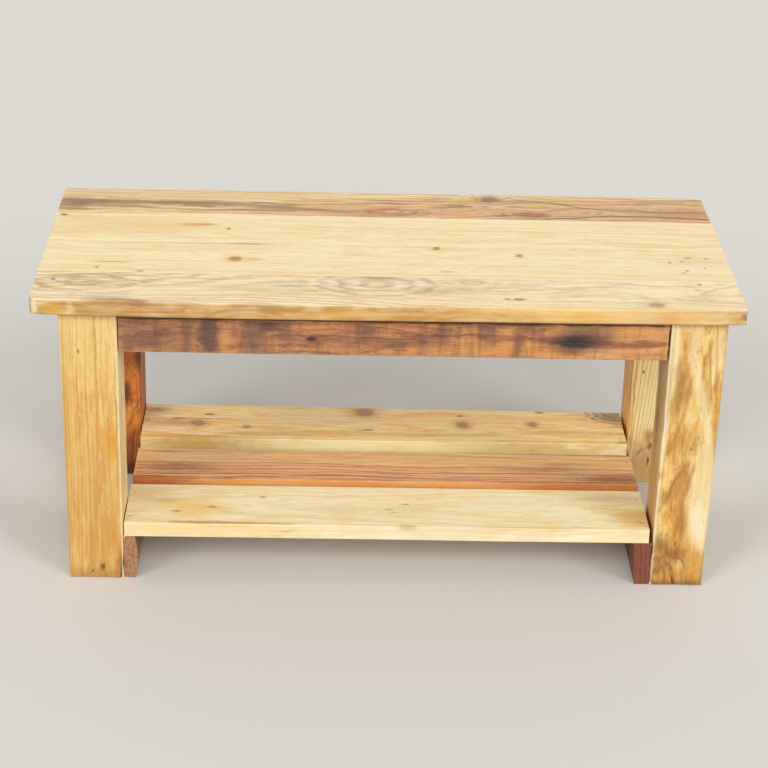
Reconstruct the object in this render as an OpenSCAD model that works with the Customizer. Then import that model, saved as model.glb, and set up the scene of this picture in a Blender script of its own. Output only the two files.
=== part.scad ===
// Coffee table with a slatted shelf, built from reclaimed softwood boards and posts.
// The origin is on the floor under the middle of the top. +X runs along the table to its right,
// +Y runs to its back and +Z runs up. All sizes are in millimetres.

/* [Top boards] */
// Length of the top boards
top_l = 1000; // [800:1:1300]
// Thickness of the top boards
top_t = 23; // [18:0.5:35]
// Width of the front top board at its left end
front_board_w = 109.5; // [85:0.5:140]
// Width of the front middle top board at its left end
front_mid_board_w = 123; // [90:1:150]
// Width of the rear middle top board at its left end
rear_mid_board_w = 110; // [90:1:150]
// Width of the rear top board at its left end
rear_board_w = 107.5; // [85:0.5:140]
// How much nearer the front the front seam lies at its right end
front_seam_skew = 6.5; // [0:0.5:14]
// How much nearer the front the middle seam lies at its right end
middle_seam_skew = 9.5; // [0:0.5:14]
// How much nearer the front the rear seam lies at its right end
rear_seam_skew = 0; // [0:0.5:14]
// Radius of the top's front and rear arrises
top_arris_r = 3; // [1:0.1:6]
// Radius of the top's front left corner in plan
top_corner_r = 12; // [4:0.5:18]
// Radius of the long arrises of every other board
board_arris_r = 2; // [0.5:0.1:4]

/* [Height] */
// Height of the table from the floor to the face of the top
table_h = 450; // [400:1:560]

/* [Legs] */
// Width of a leg under the top, along the table
leg_top_w = 82; // [70:1:100]
// Width of a leg at the floor, along the table
leg_foot_w = 78; // [65:1:100]
// Depth of a leg, front to back
leg_d = 88; // [70:1:100]
// Radius of the leg's upright arrises
leg_arris_r = 4; // [1:0.5:8]
// How far the top stands out past the left legs
left_overhang = 38; // [10:1:50]
// How far the top stands out past the right legs
right_overhang = 21.5; // [10:0.5:50]
// How far the top stands out past the front legs
front_overhang = 17; // [5:1:40]
// How far the top stands out past the rear legs
rear_overhang = 19; // [5:1:40]

/* [Aprons] */
// Height of the aprons
apron_h = 62; // [50:1:90]
// Thickness of the aprons
apron_t = 22; // [18:0.5:28]
// How far the front and rear aprons sit behind the legs' faces
apron_set_back = 2; // [0.5:0.5:10]
// How far the side aprons sit behind the legs' outer faces at the top
side_apron_set_back = 5; // [3:0.5:12]
// Open joint between an apron's left or front end and the leg
apron_joint_near = 0.8; // [0.3:0.1:3]
// Open joint between an apron's right or rear end and the leg
apron_joint_far = 2.4; // [0.3:0.1:4]

/* [Dowels] */
// Diameter of the apron dowels
dowel_d = 8; // [6:0.5:10]
// Length of the apron dowels
dowel_l = 50; // [36:1:60]
// Space between the two dowels of one joint, centre to centre
dowel_spacing = 30; // [20:1:36]

/* [Top bearers and batten] */
// Width of the top bearers and the batten, along the table
top_bearer_w = 30; // [24:1:44]
// Height of the top bearers and the batten
top_bearer_h = 30; // [22:1:36]
// Room between each end of a top bearer or batten and the apron
top_bearer_end_room = 0.5; // [0.3:0.1:3]

/* [Shelf] */
// Width of the front shelf board
front_shelf_w = 121; // [90:1:125]
// Thickness of the front shelf board
front_shelf_t = 23; // [16:0.5:30]
// Width of the middle shelf board
middle_shelf_w = 99; // [80:1:115]
// Thickness of the middle shelf board
middle_shelf_t = 20; // [16:0.5:30]
// Width of the rear shelf board
rear_shelf_w = 118; // [80:1:125]
// Thickness of the rear shelf board
rear_shelf_t = 21; // [16:0.5:30]
// Gap between the front and middle shelf boards
front_shelf_gap = 25; // [10:1:34]
// Gap between the middle and rear shelf boards
rear_shelf_gap = 35; // [10:1:44]
// How far the front shelf board sits behind the legs' faces
shelf_set_back = 1; // [0.5:0.5:10]
// Room between the shelf boards and the left legs
shelf_left_room = 1; // [0.5:0.5:8]
// Room between the shelf boards and the right legs
shelf_right_room = 5; // [0.5:0.5:8]

/* [Shelf bearers] */
// Height of the shelf bearers, from the floor to the shelf boards
bearer_h = 69; // [55:1:90]
// Greatest thickness of the left shelf bearer, at its rounded middle
left_bearer_t = 21; // [18:0.5:30]
// How much thinner the left shelf bearer is at its upper and lower edges
left_bearer_bulge = 5; // [2:0.5:6]
// Thickness of the right shelf bearer at its upper edge
right_bearer_top_t = 27; // [20:0.5:32]
// Thickness of the right shelf bearer at the floor
right_bearer_foot_t = 22; // [20:0.5:32]
// How far the shelf bearers' ends sit behind the legs' faces
bearer_set_back = 1; // [0.5:0.5:8]

/* [Screws] */
// Diameter of a screw's shank
screw_d = 4; // [3:0.5:5]
// Diameter of a screw's head
screw_head_d = 8; // [6.5:0.5:10]
// Length of screw that holds in the second piece
screw_bite = 28; // [18:1:36]
// Wood left between a screw's tip and the face of the top
screw_cover = 8; // [5:0.5:12]
// Height of the lower bearer screws above the floor
bearer_screw_z = 14; // [10:1:18]
// Space between the two screws that hold a shelf bearer to a leg, front to back
bearer_screw_spacing = 40; // [24:1:50]

/* [Nails] */
// Diameter of a nail's shank
nail_d = 2.4; // [1.8:0.1:3]
// Diameter of a nail's small head
nail_head_d = 3.8; // [3.2:0.1:5]
// Length of nail in the shelf bearer
nail_bite = 26; // [18:1:30]
// How far the nail heads are punched below the face of the shelf
nail_punch = 1.5; // [0.5:0.1:3]

/* [Fits] */
// Clearance all round a dowel, screw or nail
fit = 0.15; // [0.1:0.05:0.4]

/* [Hidden] */
$fn = 48;

// Room that a cutting tool runs past the face it cuts
past = 1;

// The top: its front edge, its three glued seams and its rear edge, at the left end
top_w = front_board_w + front_mid_board_w + rear_mid_board_w + rear_board_w;
top_under = table_h - top_t;
edge_ys = [
    -top_w / 2,
    -top_w / 2 + front_board_w,
    -top_w / 2 + front_board_w + front_mid_board_w,
    top_w / 2 - rear_board_w,
    top_w / 2,
];
edge_skews = [0, front_seam_skew, middle_seam_skew, rear_seam_skew, 0];
top_board_count = len(edge_ys) - 1;

// The leg frame: where the legs' faces are
leg_h = top_under;
leg_lean = atan((leg_top_w - leg_foot_w) / leg_h);
frame_left = -top_l / 2 + left_overhang;
frame_right = top_l / 2 - right_overhang;
frame_front = -top_w / 2 + front_overhang;
frame_rear = top_w / 2 - rear_overhang;
inner_left = frame_left + leg_top_w;
inner_right = frame_right - leg_top_w;
inner_front = frame_front + leg_d;
inner_rear = frame_rear - leg_d;

// The aprons
apron_z = top_under - apron_h;
front_apron_y = frame_front + apron_set_back;
rear_apron_y = frame_rear - apron_set_back - apron_t;
left_apron_x = frame_left + side_apron_set_back;
right_apron_x = frame_right - side_apron_set_back - apron_t;
long_apron_x = inner_left + apron_joint_near;
long_apron_l = inner_right - apron_joint_far - long_apron_x;
short_apron_y = inner_front + apron_joint_near;
short_apron_l = inner_rear - apron_joint_far - short_apron_y;
dowel_z = [
    apron_z + apron_h / 2 - dowel_spacing / 2,
    apron_z + apron_h / 2 + dowel_spacing / 2,
];
dowel_bore_l = dowel_l + 2 * fit;

// Each apron joint: the middle of its dowels, and the turn that lays a dowel along the apron
apron_joints = [
    [(inner_left + long_apron_x) / 2, front_apron_y + apron_t / 2, 90],
    [inner_right - apron_joint_far / 2, front_apron_y + apron_t / 2, 90],
    [(inner_left + long_apron_x) / 2, rear_apron_y + apron_t / 2, 90],
    [inner_right - apron_joint_far / 2, rear_apron_y + apron_t / 2, 90],
    [left_apron_x + apron_t / 2, (inner_front + short_apron_y) / 2, 0],
    [left_apron_x + apron_t / 2, inner_rear - apron_joint_far / 2, 0],
    [right_apron_x + apron_t / 2, (inner_front + short_apron_y) / 2, 0],
    [right_apron_x + apron_t / 2, inner_rear - apron_joint_far / 2, 0],
];

// The top bearers and the batten, between the front and rear aprons
top_bearer_z = top_under - top_bearer_h;
top_bearer_y = front_apron_y + apron_t + top_bearer_end_room;
top_bearer_l = rear_apron_y - top_bearer_end_room - top_bearer_y;
top_bearer_xs = [inner_left, (inner_left + inner_right - top_bearer_w) / 2, inner_right - top_bearer_w];

// Two screws hold each board to each bearer, at a quarter of its span from each edge
top_screw_shares = [1 / 4, 3 / 4];
top_screw_l = top_bearer_h + top_t - screw_cover;

// One screw holds each end of a top bearer to its leg, midway between the screws of the outer board
leg_screw_share = 1 / 2;
leg_screw_z = top_bearer_z + top_bearer_h / 2;
leg_screw_l = top_bearer_w + screw_bite;

// The shelf boards, from front to back: each has its first Y, width and thickness
front_shelf_y = frame_front + shelf_set_back;
middle_shelf_y = front_shelf_y + front_shelf_w + front_shelf_gap;
rear_shelf_y = middle_shelf_y + middle_shelf_w + rear_shelf_gap;
shelf_boards = [
    [front_shelf_y, front_shelf_w, front_shelf_t],
    [middle_shelf_y, middle_shelf_w, middle_shelf_t],
    [rear_shelf_y, rear_shelf_w, rear_shelf_t],
];
shelf_x = inner_left + shelf_left_room;
shelf_l = inner_right - shelf_right_room - shelf_x;

// The shelf bearers, along the legs' inner faces
bearer_y = frame_front + bearer_set_back;
bearer_l = frame_rear - bearer_set_back - bearer_y;
bulge_half = bearer_h / 2;
bulge_r = (bulge_half * bulge_half + left_bearer_bulge * left_bearer_bulge) / (2 * left_bearer_bulge);

// Each nail goes through the middle of the bearer's upper edge
left_nail_x = inner_left + (left_bearer_t - left_bearer_bulge) / 2;
right_nail_x = inner_right - right_bearer_top_t / 2;
nail_ends = [0.2, 0.8];

// Screws from each shelf bearer into the legs, in two rows below the nails' tips
upper_bearer_screw_z = bearer_h - nail_bite - screw_head_d;
bearer_screw_zs = [bearer_screw_z, upper_bearer_screw_z];
bearer_screw_ys = [
    for (leg = [frame_front + leg_d / 2, frame_rear - leg_d / 2], k = [-1, 1])
        leg + k * bearer_screw_spacing / 2
];
bearer_seat_t = right_bearer_foot_t - 3;
left_seat_t = left_bearer_t - left_bearer_bulge;
left_bearer_screw_l = left_seat_t + screw_bite;
right_bearer_screw_l = bearer_seat_t + screw_bite;

// A screw's cone under the head, and its tip
screw_cone_h = (screw_head_d - screw_d) / 2;
screw_rim_h = 0.6;
screw_tip_h = 5;
screw_tip_d = 0.8;
nail_head_h = 1.2;

// The Y of the top's edge or seam i, counted from the front, at a place along the table
function edge_y(i, x) = edge_ys[i] - edge_skews[i] * (x + top_l / 2) / top_l;

// A share of the stretch where top board i lies over the bearer at x
function over_bearer_y(i, x, share) =
    let (
        first = max(edge_y(i, x), top_bearer_y),
        last = min(edge_y(i + 1, x), top_bearer_y + top_bearer_l)
    )
    first + (last - first) * share;

// A rectangle with rounded corners, its first corner at the origin
module eased_rectangle(w, h, r) {
    translate([r, 0]) square([w - 2 * r, h]);
    translate([0, r]) square([w, h - 2 * r]);
    for (x = [r, w - r], y = [r, h - r])
        translate([x, y]) circle(r);
}

// A board along X, with its long arrises eased
module board_along_x(l, w, t, arris_r = board_arris_r) {
    rotate([90, 0, 90]) linear_extrude(l) eased_rectangle(w, t, arris_r);
}

// A board along Y, with its long arrises eased
module board_along_y(l, w, h) {
    translate([0, l, 0]) rotate([90, 0, 0]) linear_extrude(l) eased_rectangle(w, h, board_arris_r);
}

// A countersunk screw along +Z: the face of its head is at Z = 0
module screw(l) {
    rotate_extrude()
        polygon([
            [0, 0], [screw_head_d / 2, 0], [screw_head_d / 2, screw_rim_h],
            [screw_d / 2, screw_rim_h + screw_cone_h], [screw_d / 2, l - screw_tip_h],
            [screw_tip_d / 2, l], [0, l],
        ]);
}

// The hole for that screw, with its sink carried out through the face
module screw_hole(l) {
    head_r = screw_head_d / 2 + fit;
    shank_r = screw_d / 2 + fit;
    rotate_extrude()
        polygon([
            [0, -10 * past], [head_r, -10 * past], [head_r, screw_rim_h],
            [shank_r, screw_rim_h + screw_cone_h], [shank_r, l + fit], [0, l + fit],
        ]);
}

// A nail along -Z, punched below the face at Z = 0
module nail(l) {
    translate([0, 0, -nail_punch - nail_head_h]) cylinder(h = nail_head_h, d = nail_head_d);
    translate([0, 0, -l]) cylinder(h = l - nail_punch, d = nail_d);
}

// The hole for that nail, open at the face
module nail_hole(l) {
    head_hole_h = nail_punch + nail_head_h;
    translate([0, 0, -head_hole_h]) cylinder(h = head_hole_h + past, d = nail_head_d + 2 * fit);
    translate([0, 0, -l - fit]) cylinder(h = l + fit + past, d = nail_d + 2 * fit);
}

// A dowel or its bore, laid across one apron joint
module dowel_at(joint, z, d, l) {
    translate([joint[0], joint[1], z])
        rotate([90, 0, joint[2]])
            cylinder(h = l, d = d, center = true);
}

// The bores of every apron dowel
module dowel_bores() {
    for (joint = apron_joints, z = dowel_z)
        dowel_at(joint, z, dowel_d + 2 * fit, dowel_bore_l);
}

// The places of the screws that go up into the top boards
module at_top_screws() {
    for (bearer_x = top_bearer_xs, i = [0 : top_board_count - 1], share = top_screw_shares) {
        x = bearer_x + top_bearer_w / 2;
        translate([x, over_bearer_y(i, x, share), top_bearer_z]) children();
    }
}

// The places of the screws from one top bearer into the front and rear legs beside it
module at_leg_screws_of(bearer_x, head_x, turn) {
    for (i = [0, top_board_count - 1]) {
        y = over_bearer_y(i, bearer_x + top_bearer_w / 2, leg_screw_share);
        translate([head_x, y, leg_screw_z]) rotate([0, turn, 0]) children();
    }
}

// The places of all the screws from the top bearers into the legs
module at_leg_screws() {
    at_leg_screws_of(top_bearer_xs[0], top_bearer_xs[0] + top_bearer_w, -90) children();
    at_leg_screws_of(top_bearer_xs[2], top_bearer_xs[2], 90) children();
}

// The places of the screws from the left shelf bearer into the legs
module at_left_bearer_screws() {
    for (y = bearer_screw_ys, z = bearer_screw_zs)
        translate([inner_left + left_seat_t, y, z]) rotate([0, -90, 0]) children();
}

// The places of the screws from the right shelf bearer into the legs
module at_right_bearer_screws() {
    for (y = bearer_screw_ys, z = bearer_screw_zs)
        translate([inner_right - bearer_seat_t, y, z]) rotate([0, 90, 0]) children();
}

// The nails of one shelf board, or their holes, at both of its ends
module shelf_board_nails(b, hole) {
    for (x = [left_nail_x, right_nail_x], k = nail_ends)
        translate([x, b[0] + k * b[1], bearer_h + b[2]])
            if (hole)
                nail_hole(b[2] + nail_bite);
            else
                nail(b[2] + nail_bite);
}

// Top board i, counted from the front: its share of the whole top, drilled from below for its screws
module top_board(i) {
    left = -top_l / 2 - past;
    right = top_l / 2 + past;
    front_past = i == 0 ? past : 0;
    rear_past = i == top_board_count - 1 ? past : 0;
    difference() {
        intersection() {
            translate([-top_l / 2, edge_ys[0], top_under]) board_along_x(top_l, top_w, top_t, top_arris_r);
            translate([0, 0, top_under - past]) linear_extrude(top_t + 2 * past)
                polygon([
                    [left, edge_y(i, left) - front_past],
                    [right, edge_y(i, right) - front_past],
                    [right, edge_y(i + 1, right) + rear_past],
                    [left, edge_y(i + 1, left) + rear_past],
                ]);
        }
        at_top_screws() screw_hole(top_screw_l);
    }
}

// One shelf board, drilled for its nails
module shelf_board(b) {
    difference() {
        translate([shelf_x, b[0], bearer_h]) board_along_x(shelf_l, b[1], b[2]);
        shelf_board_nails(b, true);
    }
}

// A leg whose inner face is upright at X = 0 and whose outer face leans in towards the floor
module leg_post() {
    blank_w = leg_top_w + leg_d;
    intersection() {
        linear_extrude(leg_h) eased_rectangle(blank_w, leg_d, leg_arris_r);
        translate([leg_top_w, 0, leg_h]) rotate([0, leg_lean, 0])
            translate([-blank_w, 0, -2 * leg_h])
                linear_extrude(3 * leg_h) eased_rectangle(blank_w, leg_d, leg_arris_r);
    }
}

// A leg at its corner, drilled for its dowels and screws; side is -1 on the left and 1 on the right
module leg(side, y) {
    difference() {
        translate([side < 0 ? inner_left : inner_right, y, 0])
            mirror([side < 0 ? 1 : 0, 0, 0]) leg_post();
        dowel_bores();
        at_leg_screws() screw_hole(leg_screw_l);
        at_left_bearer_screws() screw_hole(left_bearer_screw_l);
        at_right_bearer_screws() screw_hole(right_bearer_screw_l);
    }
}

// An apron along the front or back of the table
module long_apron(y) {
    difference() {
        translate([long_apron_x, y, apron_z]) board_along_x(long_apron_l, apron_t, apron_h);
        dowel_bores();
    }
}

// An apron along one side of the table
module short_apron(x) {
    difference() {
        translate([x, short_apron_y, apron_z]) board_along_y(short_apron_l, apron_t, apron_h);
        dowel_bores();
    }
}

// A bearer or the batten under the top boards, drilled for its screws
module top_bearer(x) {
    difference() {
        translate([x, top_bearer_y, top_bearer_z]) board_along_y(top_bearer_l, top_bearer_w, top_bearer_h);
        at_top_screws() screw_hole(top_screw_l);
        at_leg_screws() screw_hole(leg_screw_l);
    }
}

module top_board_front() {
    color("#E8D8B0") difference() {
        top_board(0);
        translate([-top_l / 2, edge_ys[0], top_under]) difference() {
            translate([-past, -past, -past])
                cube([top_corner_r + past, top_corner_r + past, top_t + 2 * past]);
            translate([top_corner_r, top_corner_r, -2 * past])
                cylinder(h = top_t + 4 * past, r = top_corner_r);
        }
    }
}

module top_board_front_middle() {
    color("#F0DCA8") top_board(1);
}

module top_board_rear_middle() {
    color("#F2E0B4") top_board(2);
}

module top_board_rear() {
    color("#B08860") top_board(3);
}

module leg_front_left() {
    color("#E6C070") leg(-1, frame_front);
}

module leg_front_right() {
    color("#E8C88A") leg(1, frame_front);
}

module leg_rear_left() {
    color("#A85A30") leg(-1, inner_rear);
}

module leg_rear_right() {
    color("#DDB878") leg(1, inner_rear);
}

module apron_front() {
    color("#A2663F") long_apron(front_apron_y);
}

module apron_rear() {
    color("#C09060") long_apron(rear_apron_y);
}

module apron_left() {
    color("#B88858") short_apron(left_apron_x);
}

module apron_right() {
    color("#CBA070") short_apron(right_apron_x);
}

module apron_dowels() {
    color("#E0C9A0")
        for (joint = apron_joints, z = dowel_z)
            dowel_at(joint, z, dowel_d, dowel_l);
}

module top_bearer_left() {
    color("#D8B27A") top_bearer(top_bearer_xs[0]);
}

module top_batten() {
    color("#DDBB84") top_bearer(top_bearer_xs[1]);
}

module top_bearer_right() {
    color("#D4AC74") top_bearer(top_bearer_xs[2]);
}

module top_screws() {
    color("#B8B09A") at_top_screws() screw(top_screw_l);
}

module top_bearer_screws() {
    color("#B8B09A") at_leg_screws() screw(leg_screw_l);
}

module shelf_board_front() {
    color("#F2E2B8") shelf_board(shelf_boards[0]);
}

module shelf_board_middle() {
    color("#C08A58") shelf_board(shelf_boards[1]);
}

module shelf_board_rear() {
    color("#DDB272") shelf_board(shelf_boards[2]);
}

// The left shelf bearer: flat against the legs and bowed on its inner face
module shelf_bearer_left() {
    color("#9A6048") difference() {
        translate([inner_left, bearer_y + bearer_l, 0]) rotate([90, 0, 0]) linear_extrude(bearer_l)
            intersection() {
                square([left_bearer_t, bearer_h]);
                translate([left_bearer_t - bulge_r, bulge_half]) circle(bulge_r, $fn = 96);
            }
        at_left_bearer_screws() screw_hole(left_bearer_screw_l);
        for (b = shelf_boards)
            shelf_board_nails(b, true);
    }
}

// The right shelf bearer: flat against the legs and thinner towards the floor
module shelf_bearer_right() {
    color("#8E4C3A") difference() {
        translate([inner_right, bearer_y + bearer_l, 0]) rotate([90, 0, 0]) linear_extrude(bearer_l)
            polygon([[0, 0], [0, bearer_h], [-right_bearer_top_t, bearer_h], [-right_bearer_foot_t, 0]]);
        at_right_bearer_screws() screw_hole(right_bearer_screw_l);
        for (b = shelf_boards)
            shelf_board_nails(b, true);
    }
}

module shelf_bearer_screws() {
    color("#B8B09A") {
        at_left_bearer_screws() screw(left_bearer_screw_l);
        at_right_bearer_screws() screw(right_bearer_screw_l);
    }
}

module shelf_nails() {
    color("#6E6A64")
        for (b = shelf_boards)
            shelf_board_nails(b, false);
}

top_board_front();
top_board_front_middle();
top_board_rear_middle();
top_board_rear();
leg_front_left();
leg_front_right();
leg_rear_left();
leg_rear_right();
apron_front();
apron_rear();
apron_left();
apron_right();
apron_dowels();
top_bearer_left();
top_bearer_right();
top_batten();
top_screws();
top_bearer_screws();
shelf_board_front();
shelf_board_middle();
shelf_board_rear();
shelf_bearer_left();
shelf_bearer_right();
shelf_bearer_screws();
shelf_nails();
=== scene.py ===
"""The looks of the coffee table with shelf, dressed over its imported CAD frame.

Lengths are millimetres in the CAD's own frame, +X right, +Y back, +Z up, and meshes are made in metres.
"""

import itertools
import math
from functools import partial, partialmethod

import bmesh
import bpy
import numpy as np
from mathutils import Matrix, Vector


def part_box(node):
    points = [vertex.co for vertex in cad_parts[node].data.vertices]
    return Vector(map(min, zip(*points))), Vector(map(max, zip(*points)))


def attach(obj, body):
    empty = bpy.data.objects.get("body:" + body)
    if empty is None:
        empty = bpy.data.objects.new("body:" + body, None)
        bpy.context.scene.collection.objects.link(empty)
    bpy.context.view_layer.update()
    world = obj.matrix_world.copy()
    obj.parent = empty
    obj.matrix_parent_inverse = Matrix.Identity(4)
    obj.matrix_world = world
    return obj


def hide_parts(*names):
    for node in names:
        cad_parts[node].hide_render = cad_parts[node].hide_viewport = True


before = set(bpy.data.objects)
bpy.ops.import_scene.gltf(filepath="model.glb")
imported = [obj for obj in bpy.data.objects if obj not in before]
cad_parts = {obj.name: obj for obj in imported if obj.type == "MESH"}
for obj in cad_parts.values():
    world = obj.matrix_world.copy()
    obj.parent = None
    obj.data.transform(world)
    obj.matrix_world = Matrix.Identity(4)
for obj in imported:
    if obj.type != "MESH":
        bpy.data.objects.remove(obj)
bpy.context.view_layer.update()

MM = 0.001

# Where the seams of the top lie, at its left and at its right end
FRONT_SEAM = (-115.5, -122.0)
MIDDLE_SEAM = (7.5, -2.0)
REAR_SEAM = (117.5, 117.5)
TOP_HALF_LENGTH = 500.0
TOP_HALF_DEPTH = 225.0


# Camera and studio


def added(name, data):
    """A new object in the scene."""
    made = bpy.data.objects.new(name, data)
    bpy.context.scene.collection.objects.link(made)
    return made


def place_camera():
    """Sets the camera where the photographer stood, a little above the table and left of its middle."""
    yaw, pitch, roll = 0.02815, 0.4437, 0.02805
    place = Vector((-0.0821, -2.9486, 1.6262))
    ahead = Vector((math.sin(yaw) * math.cos(pitch), math.cos(yaw) * math.cos(pitch), -math.sin(pitch)))
    level = Vector((math.cos(yaw), -math.sin(yaw), 0))
    rise = level.cross(ahead)
    right = math.cos(roll) * level + math.sin(roll) * rise
    up = math.cos(roll) * rise - math.sin(roll) * level
    data = bpy.data.cameras.new("camera")
    data.sensor_width = 36
    data.lens = 100.54
    data.clip_end = 200
    camera = added("camera", data)
    turn = Matrix((right, up, -ahead)).transposed().to_4x4()
    camera.matrix_world = Matrix.Translation(place) @ turn
    bpy.context.scene.camera = camera


def far_softbox(name, place, spread, power):
    """A lamp so far off that it lights floor and table alike. It shines from place, spread degrees wide."""
    data = bpy.data.lights.new(name, "SUN")
    data.angle = math.radians(spread)
    data.energy = power
    data.color = (1.0, 0.985, 0.96)
    lamp = added(name, data)
    lamp.matrix_world = (-Vector(place)).to_track_quat("-Z", "Y").to_matrix().to_4x4()


def build_studio():
    """A plain pale floor under soft light from above and from both sides of the camera."""
    scene = bpy.context.scene
    scene.view_settings.view_transform = "Standard"
    world = bpy.data.worlds.new("studio_air")
    world.use_nodes = True
    air = world.node_tree.nodes["Background"]
    air.inputs["Color"].default_value = (1.0, 0.985, 0.95, 1)
    air.inputs["Strength"].default_value = 0.5
    scene.world = world

    far_softbox("left_softbox", (-0.75, -0.8, 0.56), 26, 1.1)
    far_softbox("right_softbox", (0.8, -0.72, 0.54), 26, 1.15)
    far_softbox("front_softbox", (0.05, -1.0, 0.6), 36, 0.95)
    far_softbox("wall_glow", (0.0, 1.0, 0.5), 70, 0.4)

    radius, sides = 60.0, 64
    turns = [math.tau * i / sides for i in range(sides)]
    ring = [(radius * math.cos(turn), radius * math.sin(turn), 0) for turn in turns]
    mesh = bpy.data.meshes.new("studio_floor")
    mesh.from_pydata(ring, [], [tuple(range(sides))])
    mesh.materials.append(floor_finish())
    floor = added("studio_floor", mesh)


# Finishes: a socket that can be used in sums, and the node tree that it belongs to


class Wire:
    """One output of a node. Sums on it add Math nodes."""

    def __init__(self, tree, socket):
        self.tree = tree
        self.socket = socket

    def math(self, operation, *others):
        return self.tree.node("ShaderNodeMath", dict(enumerate((self, *others))), operation=operation)

    def __rsub__(self, other):
        return self.tree.node("ShaderNodeMath", {0: other, 1: self}, operation="SUBTRACT")

    __add__ = __radd__ = partialmethod(math, "ADD")
    __sub__ = partialmethod(math, "SUBTRACT")
    __mul__ = __rmul__ = partialmethod(math, "MULTIPLY")
    __truediv__ = partialmethod(math, "DIVIDE")

    def part(self, name):
        """Another output of the same node."""
        return Wire(self.tree, self.socket.node.outputs[name])


class Tree:
    """A tree of nodes, to which one method adds any node."""

    def __init__(self, tree, family):
        self.tree = tree
        self.family = family

    def node(self, kind, inputs=None, out=0, **settings):
        """Adds a node and gives one of its outputs. Its inputs are values, wires or lists of wires."""
        made = self.tree.nodes.new(kind if "Node" in kind else self.family + kind)
        for key, value in settings.items():
            if key == "stops":
                ramp = made.color_ramp
                for stop, (place, colour) in itertools.zip_longest(list(ramp.elements), value):
                    stop = stop or ramp.elements.new(place)
                    stop.position = place
                    stop.color = colour
            elif key == "course":
                curve = made.mapping.curves[0]
                curve.points[0].location, curve.points[-1].location = value[0], value[-1]
                for point in value[1:-1]:
                    curve.points.new(*point)
                made.mapping.extend = "HORIZONTAL"
                made.mapping.update()
            else:
                setattr(made, key, value)
        for key, value in (inputs or {}).items():
            for wire in value if isinstance(value, list) else [value]:
                if isinstance(wire, Wire):
                    self.tree.links.new(wire.socket, made.inputs[key])
                else:
                    made.inputs[key].default_value = wire
        return Wire(self, made.outputs[out])

    def vector(self, operation, *values, out=0):
        return self.node("ShaderNodeVectorMath", dict(enumerate(values)), out, operation=operation)

    def split(self, vector):
        """A vector's lengths along X, Y and Z."""
        along_x = self.node("ShaderNodeSeparateXYZ", {0: vector})
        return [along_x.part(axis) for axis in "XYZ"]


class Finish(Tree):
    """A material, and the tree of nodes that colours it."""

    def __init__(self, name):
        self.material = bpy.data.materials.new(name)
        self.material.use_nodes = True
        super().__init__(self.material.node_tree, "ShaderNode")
        self.tree.nodes.clear()

    def blend(self, share, first, second, mode="MIX"):
        """Colour first where share is 0, second where it is 1."""
        return self.node("Mix", {0: share, 6: first, 7: second}, 2, data_type="RGBA", blend_type=mode)

    def scaled(self, place, scale, shift=(0, 0, 0)):
        """A place times a scale for each axis, plus a shift."""
        return self.vector("MULTIPLY_ADD", place, scale, shift)

    def ramp(self, value, start, end, low=0.0, high=1.0):
        """Turns smoothly from low to high while value goes from start to end."""
        inputs = {"Value": value, "From Min": start, "From Max": end, "To Min": low, "To Max": high}
        return self.node("MapRange", inputs, interpolation_type="SMOOTHSTEP")

    def noise(self, place, detail=2.0, rough=0.5, out="Fac"):
        inputs = {"Vector": place, "Scale": 1.0, "Detail": detail, "Roughness": rough}
        return self.node("TexNoise", inputs, out)

    def course(self, value, places):
        """A smooth line drawn through places: for each value along it, how far across it runs."""
        (start, _), (end, _) = places[0], places[-1]
        low = min(across for _, across in places)
        high = max(max(across for _, across in places), low + 0.1)
        points = [((a - start) / (end - start), (across - low) / (high - low)) for a, across in places]
        share = self.node("FloatCurve", {"Value": (value - start) / (end - start)}, course=points)
        return share * (high - low) + low

    def surface(self, skin, shine, bump, metal=0.0):
        """Ends the tree in a Principled surface."""
        inputs = {"Base Color": skin, "Roughness": shine, "Normal": bump, "Metallic": metal}
        self.end(self.node("BsdfPrincipled", inputs))
        return self.material

    def end(self, shader):
        output = self.tree.nodes.new("ShaderNodeOutputMaterial")
        self.tree.links.new(shader.socket, output.inputs["Surface"])


def colour(code):
    """A colour written as six hexadecimal digits, as the linear values that nodes use."""
    shares = [int(code[i : i + 2], 16) / 255 for i in (0, 2, 4)]
    return tuple(s / 12.92 if s <= 0.04045 else ((s + 0.055) / 1.055) ** 2.4 for s in shares) + (1.0,)


def floor_finish():
    """Pale where it is seen, and as grey as a workshop floor where it lights the table from below."""
    finish = Finish("studio_floor")
    path = finish.node("LightPath", out="Is Camera Ray")
    seen = path + path.part("Is Glossy Ray") + path.part("Is Transmission Ray")
    seen = finish.node("Clamp", {"Value": seen})
    tone = finish.blend(seen, colour("A8A49C"), colour("DAD8D4"))
    finish.end(finish.node("BsdfDiffuse", {"Color": tone}))
    return finish.material


# How a timber lies: the axes along its grain, across its face and through its thickness
FLAT_BOARD = "XYZ"
EDGE_BOARD = "XZY"
SIDE_BOARD = "YZX"
CROSS_BAR = "YXZ"
POST = "ZXY"


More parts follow.
